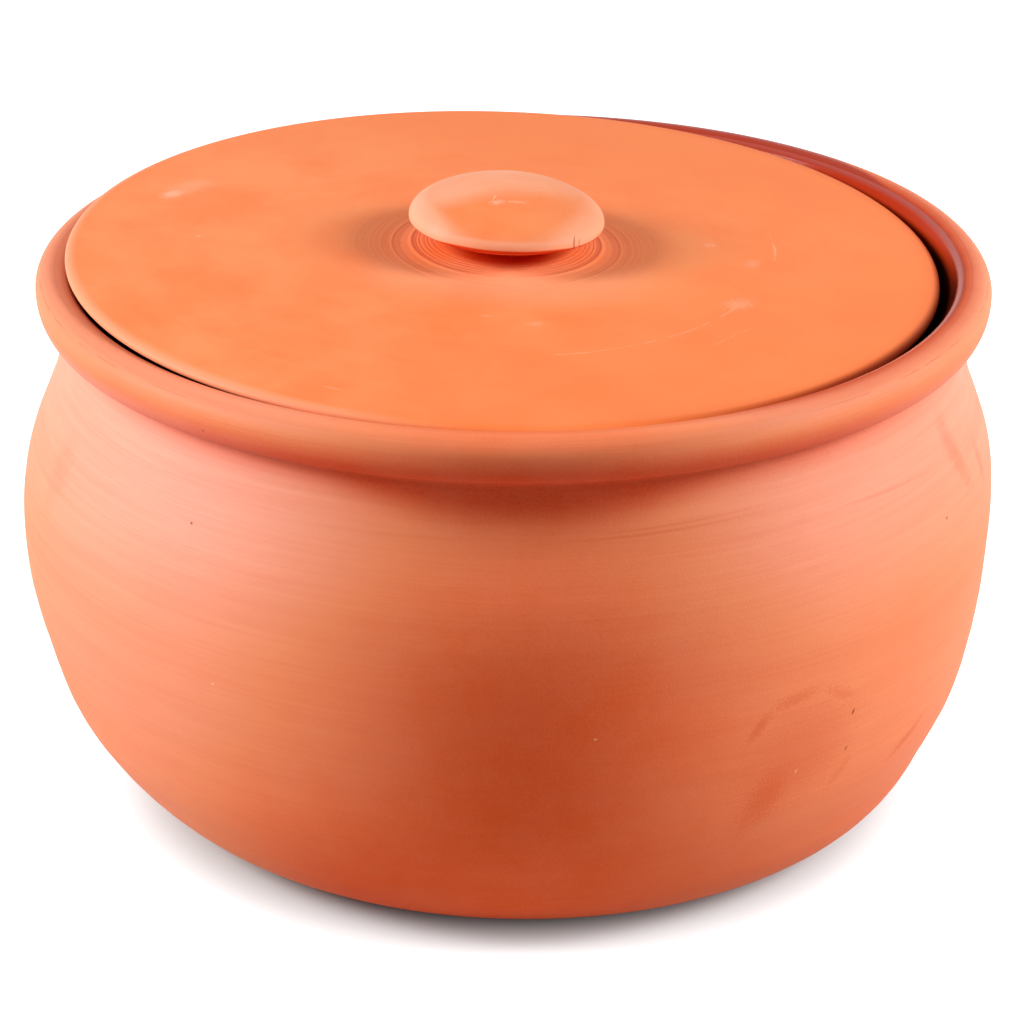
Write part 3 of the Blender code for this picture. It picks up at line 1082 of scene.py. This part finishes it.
# %% Pot material
CLAY_DEEP = (0.720, 0.080, 0.016, 1)
CLAY_PALE = (0.950, 0.420, 0.260, 1)
CLAY_RUBBED = (0.700, 0.085, 0.020, 1)
CLAY_STAINED = (0.590, 0.070, 0.018, 1)
GLAZE_LIP = (0.420, 0.034, 0.010, 1)
SPECK_COLOUR = (0.95, 0.55, 0.34, 1)
# The pits and nicks are painted dark as the shade inside them.
PIT_SHADE_COLOUR = (0.30, 0.030, 0.008, 1)

STREAK_SHARE = 0.12
LINE_SHARE = 0.11
MOTTLE_SHARE = 0.08
SAND_SHARE = 0.07
# The groove's darker colour is painted shade in it.
GROOVE_SHADE_SHARE = 0.35
GROOVE_HEIGHT = RIM_HEIGHT - 1.25 * MM
GROOVE_WIDTH = 0.16 * MM
GROOVE_OPENS = (25, 55, 0.12, 1)
POT_SHEEN = (10, 75, 0.04, 0.12)
SHEEN_LOST = 0.9
POT_ROUGHNESS = 0.50
LIP_ROUGHNESS = 0.24
POT_RELIEF = 0.10 * MM


def new_material(name):
    """A material with an empty tree: its steps, its shader and its object coordinates."""
    material = bpy.data.materials.new(name)
    material.use_nodes = True
    steps = Steps(material.node_tree)
    position = steps.place("ShaderNodeTexCoord", {})["Object"]
    return material, steps, material.node_tree.nodes["Principled BSDF"], position


def bead_groove(steps, position, way, height):
    """The hairline groove round the bead, which comes and goes."""
    off = steps.calc("DIVIDE", steps.less(height, GROOVE_HEIGHT), GROOVE_WIDTH)
    line = steps.ramp(steps.size(off), 1, 0)
    skips = steps.ramp(steps.noise(position, 90, 3, 0.6), 0.42, 0.56)
    return steps.times(line, skips, steps.ramp_round(steps.size(way), *GROOVE_OPENS))


def make_terracotta():
    """Wheel-thrown terracotta for the pot's body."""
    material, steps, shader, position = new_material("thrown_terracotta")
    marks = steps.use(turning_marks, {"Position": position, "Spacing": 0.75 * MM, "Wander": 1.6})
    grain = steps.use(clay_grain, {"Position": position, "Specks": 0.06})
    flat = steps.use(unrolled_wall, {"Position": position})[0]
    parts = steps.split(position)
    way, height = way_round(steps, parts), parts["Z"]
    places = {"Position": position, "Flat Position": flat}
    wiped = steps.use(wiped_rim, places)
    groove = bead_groove(steps, position, way, height)
    rubbed = strongest(steps, smudge, flat, WALL_MARKS)
    dented = steps.most(strongest(steps, smudge, flat, PITS), steps.times(grain["Pits"], 0.7))
    lines = steps.ramp(marks["Height"], 0.35, 0.70)
    sand = steps.ramp(grain["Height"], 0.3, 0.8)
    colour = steps.layered(
        steps.use(fired_clay_with_light, places)[0],
        (steps.times(marks["Streaks"], STREAK_SHARE), CLAY_DEEP),
        (steps.times(lines, LINE_SHARE), CLAY_DEEP),
        (steps.times(grain["Mottling"], MOTTLE_SHARE), CLAY_PALE),
        (steps.times(sand, SAND_SHARE), CLAY_PALE),
        (rubbed, CLAY_RUBBED),
        (steps.times(groove, GROOVE_SHADE_SHARE), CLAY_RUBBED),
        (steps.most(strongest(steps, smudge, flat, GRAZES), grain["Specks"]), SPECK_COLOUR),
        (dented, PIT_SHADE_COLOUR),
        (wiped["Stained"], CLAY_STAINED),
        (wiped["Glazed"], GLAZE_LIP))
    hollow_shade = dark_hollow(steps, round_flash_and_shade(steps, position, way)[1], height)
    sheen = steps.times(steps.ramp_mm(height, *POT_SHEEN), steps.scaled(hollow_shade, -SHEEN_LOST, 1))
    roughness = steps.scaled(grain["Mottling"], 0.08, POT_ROUGHNESS)
    roughness = steps.scaled(rubbed, 0.15, roughness)
    relief = steps.scaled(marks["Height"], 0.7, steps.times(grain["Height"], 0.45))
    relief = steps.less(relief, steps.calc("ADD", steps.times(groove, 0.9), dented))
    steps.feed(shader, {"Base Color": colour, "Specular IOR Level": sheen,
                        "Roughness": steps.between(wiped["Glazed"], roughness, LIP_ROUGHNESS),
                        "Normal": steps.bump(relief, POT_RELIEF)})
    return material


terracotta = make_terracotta()

# %% [markdown]
# ## Marks on the lid
# A pale scrape lies near the back left, small rubs are strewn mostly over the right half, and
# hair-thin scratches curve across it. The cap is scuffed on top where fingers take it, and a nail
# left two nicks in its lip. The rows are as before, with the place in millimetres from the lid's
# middle.

# %% Lid marks
LID_SCRAPES = [mark(*row) for row in (
    (-80.4, 30.8, 4.2, 2.8, 50, 0.75, 0.45, 1.6),
    (-76.5, 36, 8.5, 4.6, 48, 0.28, 0.40, 3),
    (53.3, -30.2, 4.6, 3.4, 35, 0.34, 1.10, 0.9),
    (57.6, -4.6, 4, 2.2, 75, 0.24, 1.10, 0.9),
    (47.9, 5.8, 2.2, 1.5, 10, 0.34, 0.90, 0.9),
    (6.6, -47.7, 2.4, 1.4, 20, 0.30, 0.90, 0.9),
    (-4.4, -44.1, 1.6, 1, 0, 0.25, 0.90, 0.9),
    (-72.2, 1.7, 1, 0.6, 20, 0.6, 0.20),
    (-37.1, -85.2, 4, 0.4, -24, 0.35, 0.30),
)]
LID_SCRATCHES = [
    arc(65.6, 61.1, -84, -25, 0.45),
    arc(62.8, 64.4, -2, 15, 0.50, 0.45),
    arc(72, 70.5, -52, -38, 0.25),
    arc(88, 87, -150, -118, 0.12),
]
LID_PITS = [mark(-24.6, -1, 0.5, 0.25, 20, 0.5, 0.05)]
CAP_SCUFFS = [mark(*row) for row in (
    (-3.2, -7.2, 1.6, 0.28, 75, 0.9, 0.4, 0.8),
    (-2.6, -9.6, 2.2, 1.3, 15, 0.7, 0.8, 0.7),
    (1.8, -9.2, 3.2, 0.7, 4, 0.5, 0.7, 0.8),
    (0.5, 3, 1.8, 0.8, 0, 0.5, 0.8, 0.8),
    (-0.5, 12, 4.5, 2.2, 0, 0.4, 0.8, 1.2),
    (6, -2, 4, 0.4, 30, 0.3, 0.8, 1),
)]
CAP_NICKS = [
    mark(15.4, -16.5, 1.20, 0.20, 85, 0.8, 0.05),
    mark(16.6, -15.4, 0.70, 0.16, 85, 0.5, 0.05),
]
print(len(LID_SCRAPES), "scrapes and", len(LID_SCRATCHES), "scratches on the lid")

# %% [markdown]
# ## The lid's clay
# The lid was smoothed with a rib, so it is finer and more orange than the pot, with rings of
# turning instead of level lines, and a little deeper at the front right and at the back. Round
# the knob, slip lies pale in front, and on both sides the knob's soft shadows are painted darker.
# The lid's edge is pale on the left, partly worn by lifting and partly a painted highlight where
# the left lamp catches its round. On the right, where the edge sinks into the glazed seat, it is
# painted dark as the rim's shade, over a little stain from the glaze, and the seat took its sheen.
# One material serves the disc and the knob, so masks by height tell the two apart.

# %% Lid's face and edge
LID_CLAY = (0.930, 0.242, 0.070, 1)
LID_DEEP = (0.910, 0.204, 0.048, 1)
LID_PALE = (0.940, 0.290, 0.104, 1)
LID_WORN_AND_LIT = (0.950, 0.400, 0.230, 1)
LID_SHADED = (0.820, 0.140, 0.030, 1)
KNOB_PALE = (0.950, 0.430, 0.260, 1)

LID_STREAK_SHARE = 0.6
LID_MOTTLE_SHARE = 0.85
DEEPER_RIGHT = (20, 110)
DEEPER_BACK = (25, 85)
DEEPER_SHARE = 0.55
KNOB_RING = (46, 24)
KNOB_FRONT = (-6, -26)
FRONT_SHARE = 0.45
KNOB_SHADOW_SHARE = 0.38
WORN_LIT_SIDE = (-12, -62)
WORN_LIT_EDGE = (LID_RADIUS - 2.8 * MM, LID_RADIUS - 0.4 * MM)
WORN_LIT_SHARE = 0.65
SUNK_SIDE = (10, 60)
SUNK_EDGE = (LID_RADIUS - 6 * MM, LID_RADIUS)
SUNK_SHARE = 0.8


def lid_face(steps, parts, radius, marks, grain, off_cap):
    """The lid's colour, without its marks and without what the seat and the cap add."""
    x, y = parts["X"], parts["Y"]
    deeper = steps.most(steps.ramp_mm(steps.less(x, y), *DEEPER_RIGHT),
                        steps.ramp_mm(steps.scaled(x, 0.5, y), *DEEPER_BACK))
    round_knob = steps.times(steps.ramp_mm(radius, *KNOB_RING), off_cap)
    in_front = steps.ramp_mm(y, *KNOB_FRONT)
    # Painted shadow: the knob's soft shadows darken the lid on both sides.
    knob_shadow = steps.scaled(in_front, -KNOB_SHADOW_SHARE, KNOB_SHADOW_SHARE)
    # The left edge is pale partly from wear and partly as a painted highlight of the left lamp.
    on_left = steps.ramp_mm(steps.scaled(y, 0.12, x), *WORN_LIT_SIDE)
    # Painted shade: the rim shades the lid's sunk right edge.
    on_right = steps.ramp_mm(x, *SUNK_SIDE)
    return steps.layered(
        LID_DEEP,
        (steps.times(marks["Streaks"], LID_STREAK_SHARE), LID_CLAY),
        (steps.times(grain["Mottling"], LID_MOTTLE_SHARE), LID_PALE),
        (steps.times(deeper, DEEPER_SHARE), LID_DEEP),
        (steps.times(round_knob, in_front, FRONT_SHARE), KNOB_PALE),
        (steps.times(round_knob, knob_shadow), LID_SHADED),
        (steps.times(steps.ramp(radius, *WORN_LIT_EDGE), on_left, WORN_LIT_SHARE), LID_WORN_AND_LIT),
        (steps.times(steps.ramp(radius, *SUNK_EDGE), on_right, SUNK_SHARE), LID_SHADED))


# %% [markdown]
# ## The knob's cap
# The cap is pale in a band along its rim, which is broader on the sides than in front, and at
# its lip, and the back of the cap is pale as well: partly dust from the fingers that lift it and
# partly painted highlight where the lamps catch its rounded rim. Its underside and the joint at
# the waist are painted dark with the shade under the cap. The cap leans, so its height is
# measured along the lean.

# %% Cap and joint masks
CAP_START = (10.4, 10.9)
CAP_FRONT_DROP = (-15, -21, 0, 0.55 * MM)
CAP_MIDDLE = -1 * MM
CAP_SIDES = (5, 19)
CAP_BAND_FRONT = 20.4 * MM
CAP_BAND_SIDE = 15 * MM
CAP_BAND_WIDTH = 6 * MM
CAP_BAND = (0, 1, 0.15, 1)
CAP_SIDE_SHARE = (0, 1, 0.6, 1)
CAP_BACK = (-11, 1, 0, 0.68)
CAP_LEFT_TO_RIGHT = (-6, 18, 1.15, 0.80)
CAP_LIP = (CAP_RADIUS - 1.3 * MM, CAP_RADIUS - 0.4 * MM, 0, 0.9)
JOINT_SIDES = (16, 7, 0.08, 1)
JOINT_EDGE = (19.2, 15.2)
JOINT_ABOVE_DISC = (0, 2)
CAP_UNDERSIDE = (8.4, 9.4)


def cap_level(steps, parts):
    """The height on the knob, measured along the cap's lean and the droop of its front."""
    level = steps.scaled(steps.most(parts["X"], 0), CAP_LEAN / CAP_RADIUS, parts["Z"])
    return steps.less(level, steps.ramp_mm(parts["Y"], *CAP_FRONT_DROP))


def cap_dust_and_highlight(steps, position, parts, radius):
    """How pale the cap is, from wear and painted highlight: a band along its rim, its back and its lip."""
    aside = steps.size(steps.less(parts["X"], CAP_MIDDLE))
    to_side = steps.ramp_mm(aside, *CAP_SIDES)
    inner = steps.between(to_side, CAP_BAND_FRONT, CAP_BAND_SIDE)
    in_band = steps.ramp(steps.calc("DIVIDE", steps.less(radius, inner), CAP_BAND_WIDTH), *CAP_BAND)
    band = steps.times(in_band, steps.ramp(to_side, *CAP_SIDE_SHARE))
    back = steps.ramp_mm(steps.scaled(parts["X"], -0.28, parts["Y"]), *CAP_BACK)
    worn = steps.times(steps.most(band, back), steps.ramp_mm(parts["X"], *CAP_LEFT_TO_RIGHT))
    worn = steps.most(worn, steps.ramp(radius, *CAP_LIP))
    return steps.times(worn, steps.scaled(steps.noise(position, 70, 4, 0.6), 0.7, 0.50))


def shade_under_cap(steps, parts, radius, level, off_cap):
    """Painted shade: round the waist and under the cap."""
    round_waist = steps.times(steps.ramp_mm(steps.size(parts["X"]), *JOINT_SIDES),
                              steps.ramp_mm(radius, *JOINT_EDGE),
                              steps.ramp_mm(parts["Z"], *JOINT_ABOVE_DISC))
    return steps.times(steps.most(round_waist, steps.ramp_mm(level, *CAP_UNDERSIDE)), off_cap)


# %% [markdown]
# ## The lid's material
# The masks come together here: first the face, then the painted shade and stain from the seat,
# the dust and painted highlight on the cap, the painted shade under the cap, the scrapes and
# specks, and the nicks and pits last, painted dark as their shade, since they cut through all the
# rest. Nicks and scuffs belong to the cap alone, though the disc below has the same X and Y, so a
# height keeps them off it.

# %% Lid material
# The seat's colour is painted shade of the rim on the lid's sunk right edge, over a little glaze stain.
SEAT_STAIN_AND_SHADE = (0.200, 0.016, 0.003, 1)
SCRAPE = (0.950, 0.450, 0.280, 1)
SEAT_EDGE = (LID_RADIUS - 3.3 * MM, LID_RADIUS - 1.1 * MM)
SEAT_SIDE = (20, 80)
SEAT_FRONT = (60, 0, 0.30, 0.92)
NICKS_ABOVE = (8, 8.5)
CAP_SHADE_SHARE = 0.92
LID_SHEEN = 0.19
LID_SHEEN_LOST = 0.18
LID_ROUGHNESS = 0.48
LID_RELIEF = 0.07 * MM


def make_lid_clay():
    """Smoothed terracotta for the lid and its knob."""
    material, steps, shader, position = new_material("smoothed_terracotta")
    turning = {"Position": position, "Disc": 1, "Spacing": 0.9 * MM, "Wander": 1.2}
    sanding = {"Position": position, "Grain": 0.3 * MM, "Mottle": 26 * MM, "Specks": 0.03}
    marks = steps.use(turning_marks, turning)
    grain = steps.use(clay_grain, sanding)
    parts, flat, radius = steps.from_axis(position)
    level = cap_level(steps, parts)
    on_cap = steps.ramp_mm(level, *CAP_START)
    off_cap = steps.less(1, on_cap)
    # Painted shade of the rim on the sunk right edge, over a little glaze stain.
    seated = steps.times(steps.ramp(radius, *SEAT_EDGE), steps.ramp_mm(parts["X"], *SEAT_SIDE),
                         steps.ramp_mm(parts["Y"], *SEAT_FRONT))
    # Painted shade under the cap, on its underside and round the waist.
    cap_shade = shade_under_cap(steps, parts, radius, level, off_cap)
    scraped = steps.most(strongest(steps, smudge, flat, LID_SCRAPES),
                         strongest(steps, scratch, flat, LID_SCRATCHES),
                         steps.times(strongest(steps, smudge, flat, CAP_SCUFFS), on_cap))
    cap_nicks = steps.times(strongest(steps, smudge, flat, CAP_NICKS),
                            steps.ramp_mm(parts["Z"], *NICKS_ABOVE))
    nicked = steps.most(cap_nicks, strongest(steps, smudge, flat, LID_PITS))
    colour = steps.layered(
        lid_face(steps, parts, radius, marks, grain, off_cap),
        (seated, SEAT_STAIN_AND_SHADE),
        (steps.times(cap_dust_and_highlight(steps, position, parts, radius), on_cap), KNOB_PALE),
        (steps.times(cap_shade, CAP_SHADE_SHARE), HOLLOW_SHADE),
        (scraped, SCRAPE),
        (grain["Specks"], SPECK_COLOUR),
        (nicked, PIT_SHADE_COLOUR))
    relief = steps.scaled(marks["Height"], 0.5, steps.times(grain["Height"], 0.25))
    sheen = steps.scaled(steps.most(cap_shade, seated), -LID_SHEEN_LOST, LID_SHEEN)
    steps.feed(shader, {"Base Color": colour, "Specular IOR Level": sheen,
                        "Roughness": steps.scaled(grain["Mottling"], 0.08, LID_ROUGHNESS),
                        "Normal": steps.bump(steps.less(relief, nicked), LID_RELIEF)})
    return material


lid_clay = make_lid_clay()

# %% [markdown]
# ## The brown glaze
# A transparent brown glaze over red clay is red-brown on the back half of the funnel, just under
# the lip, and nearly black in front and further down towards the lid and into the pot: partly the
# glaze pooling there and partly painted shade where the lid and the rim shade the funnel. Over the
# lip it was wiped thin: on the right it leaves a narrow purple-brown border with a bright thin bead
# along its edge. On the left and in front the thumb went down into the funnel and left bare clay.
# It could be a coat over the clay, but here it is a layer with its own mesh, so one mask goes from
# glaze to the same fired clay as the pot's, and takes the roughness along.

# %% Glaze material
# The deep colour is partly pooled glaze and partly painted shade in front and in the gap under the lid.
GLAZE_POOLED_AND_SHADED = (0.050, 0.005, 0.002, 1)
GLAZE_FUNNEL = (0.480, 0.032, 0.003, 1)
WIPED_DOWN = 4.8 * MM
WIPED_LITTLE = 1.6 * MM
WIPED_LITTLE_RIGHT = (30, 62)
WIPED_LITTLE_BACK = (-140, -170)
WIPED_SOFTNESS = 0.8 * MM
THIN_LIT_TO = (92, 128, 4.8 * MM, 10 * MM)
THIN_LIT_FROM = 2.2 * MM
FUNNEL_BRIGHT = (80, 102)
LIP_INSIDE = (103.3, 104.3)
BEAD_OUTSIDE = (105.3, 104.6)
BEAD_RIGHT = (35, 55)
BEAD_SHINE = 0.45
GLAZE_SHINE = (9, 3, 0.12, 0.05)
BARE_ROUGHNESS = 0.52
GLOSS_SPREAD = 0.10
GLOSS_ROUGHNESS = 0.16
GLAZE_RELIEF = 0.15 * MM


def make_glaze():
    """Transparent brown glaze, dark in the pot and in front with painted shade, red on the funnel and wiped
    thin over the lip.
    """
    material, steps, shader, position = new_material("fired_brown_glaze")
    parts, across, radius = steps.from_axis(position)
    way = way_round(steps, parts)
    flat = steps.use(unrolled_wall, {"Position": position})[0]
    aside = steps.size(way)
    places = {"Position": position, "Flat Position": flat}
    wiped = steps.use(wiped_rim, places)
    clay = steps.use(fired_clay_with_light, places)[0]
    clay = steps.mixed(wiped["Stained"], clay, CLAY_STAINED)

    wiped_to = steps.calc("MINIMUM",
                          steps.ramp_round(way, *WIPED_LITTLE_RIGHT, WIPED_DOWN, WIPED_LITTLE),
                          steps.ramp_round(way, *WIPED_LITTLE_BACK, WIPED_DOWN, WIPED_LITTLE))
    depth = steps.less(RIM_HEIGHT, parts["Z"])
    inside_pot = steps.ramp(steps.less(depth, wiped_to), 0, WIPED_SOFTNESS)
    glazed = steps.most(wiped["Glazed"], inside_pot)
    # Painted shade: the funnel darkens in front and further down towards the lid, over glaze that pools.
    thin_and_lit = steps.ramp(depth, steps.ramp_round(aside, *THIN_LIT_TO), THIN_LIT_FROM)
    on_lip = steps.ramp_mm(radius, *LIP_INSIDE)
    colour = steps.mixed(steps.times(thin_and_lit, steps.ramp_round(aside, *FUNNEL_BRIGHT)), GLAZE_POOLED_AND_SHADED, GLAZE_FUNNEL)
    colour = steps.mixed(steps.times(on_lip, wiped["Glazed"]), colour, GLAZE_LIP)

    left_glazed = steps.most(steps.ramp_round(way, *BEAD_RIGHT), steps.ramp_round(way, *BACK_LEFT))
    bead = steps.times(on_lip, steps.ramp_mm(radius, *BEAD_OUTSIDE), left_glazed)
    gloss = steps.scaled(steps.noise(position, 300), GLOSS_SPREAD, GLOSS_ROUGHNESS)
    ripple = steps.noise(position, 160)
    steps.feed(shader, {
        "Base Color": steps.mixed(glazed, clay, colour),
        "Specular IOR Level": steps.most(steps.times(bead, BEAD_SHINE), steps.ramp_mm(depth, *GLAZE_SHINE)),
        "Roughness": steps.between(steps.most(glazed, bead), BARE_ROUGHNESS, gloss),
        "Normal": steps.bump(ripple, GLAZE_RELIEF, 0.5)})
    return material


brown_glaze = make_glaze()

# %% [markdown]
# ## Who carries what
# The pot's clay and glaze ride on the body that stands still. The lid and knob ride on the
# body that lifts. Each fine mesh replaces the plain solid whose place it takes.

# %% Assign materials and bodies
for piece, material, body, node, slot_name in (
        (pot_clay, terracotta, "pot", "pot_body", "terracotta"),
        (glaze_lining, brown_glaze, "pot", "inner_glaze", "brown_glaze"),
        (lid, lid_clay, "lid", "lid_disc", "lid_clay"),
        (knob, lid_clay, "lid", "lid_knob", "lid_clay")):
    piece.data.materials.clear()
    piece.data.materials.append(material)
    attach(piece, body)
    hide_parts(node)
    print(piece.name, "rides on", body, "and replaces", node)

# %% [markdown]
# ## The studio
# Two softboxes stand nearly level with the pot's sides, 28 degrees up, so both cheeks of the
# belly are bright, the middle falls into shade, and the knob throws a soft shadow to each side.
# The floor is plain and pale: neutral as it throws light back, and a little cooler as it is seen.
# To a camera ray it glows a little, and more the further it lies from the pot, which takes it to
# white without more light on the pot, and the pot's shadow stays on it. Close to the pot the glow
# fades to nothing, which adds painted shadow round the foot.

# %% Floor, world and lamps
WHITE = (1, 1, 1, 1)
FLOOR_SIZE = 12
FLOOR_DROP = 0.3 * MM
FLOOR_SEEN = (0.44, 0.49, 0.50, 1)
FLOOR_BOUNCE = (0.62, 0.62, 0.62, 1)
FLOOR_ROUGHNESS = 0.9
GLOW_NEAR = 0.0745
GLOW_FAR = 0.108
AMBIENT = 0.13
LAMP_SIZE = 0.40
LAMP_DISTANCE = 1.20
LAMP_RISE = math.radians(28)
AIM_HEIGHT = 0.10


def seen_rays(steps):
    """1 for rays that see the backdrop, straight or in a reflection, and 0 for light."""
    path = steps.place("ShaderNodeLightPath", {})
    return steps.most(path["Is Camera Ray"], path["Is Glossy Ray"], path["Is Transmission Ray"])


def add_floor():
    """A wide pale floor that keeps shadows, with painted shadow close to the pot, and reads as white to the
    camera.
    """
    mesh = bpy.data.meshes.new("floor")
    half = FLOOR_SIZE / 2
    corners = [(-half, -half, 0), (half, -half, 0), (half, half, 0), (-half, half, 0)]
    mesh.from_pydata(corners, [], [(0, 1, 2, 3)])
    floor = bpy.data.objects.new("floor", mesh)
    bpy.context.scene.collection.objects.link(floor)
    floor.location.z = -FLOOR_DROP
    material, steps, shader, position = new_material("floor")
    seen = seen_rays(steps)
    # No glow close to the pot: painted shadow round the foot.
    glow = steps.ramp(steps.length(position), GLOW_NEAR, GLOW_FAR)
    steps.feed(shader, {
        "Base Color": steps.mixed(seen, FLOOR_BOUNCE, FLOOR_SEEN),
        "Roughness": FLOOR_ROUGHNESS,
        "Specular IOR Level": 0,
        "Emission Color": WHITE,
        "Emission Strength": steps.times(seen, glow)})
    mesh.materials.append(material)
    return floor


def set_world():
    """White to the camera and in reflections, and a softer grey as light."""
    world = bpy.data.worlds.new("studio")
    bpy.context.scene.world = world
    world.use_nodes = True
    steps = Steps(world.node_tree)
    strength = steps.ramp(seen_rays(steps), 0, 1, AMBIENT, 1)
    steps.feed(world.node_tree.nodes["Background"], {"Color": WHITE, "Strength": strength})


def add_lamp(name, side, watts):
    """A square softbox, at an angle from the front in degrees and aimed at the pot."""
    data = bpy.data.lights.new(name, "AREA")
    data.shape = "SQUARE"
    data.size = LAMP_SIZE
    data.energy = watts
    lamp = bpy.data.objects.new(name, data)
    bpy.context.scene.collection.objects.link(lamp)
    turn = math.radians(side)
    level = math.cos(LAMP_RISE)
    way = Vector((math.sin(turn) * level, -math.cos(turn) * level, math.sin(LAMP_RISE)))
    lamp.location = Vector((0, 0, AIM_HEIGHT)) + way * LAMP_DISTANCE
    lamp.rotation_euler = way.to_track_quat("Z", "Y").to_euler()
    return lamp


add_floor()
set_world()
add_lamp("left_softbox", -80, 15.3)
add_lamp("right_softbox", 82, 14)
bpy.context.scene.view_settings.view_transform = "Standard"
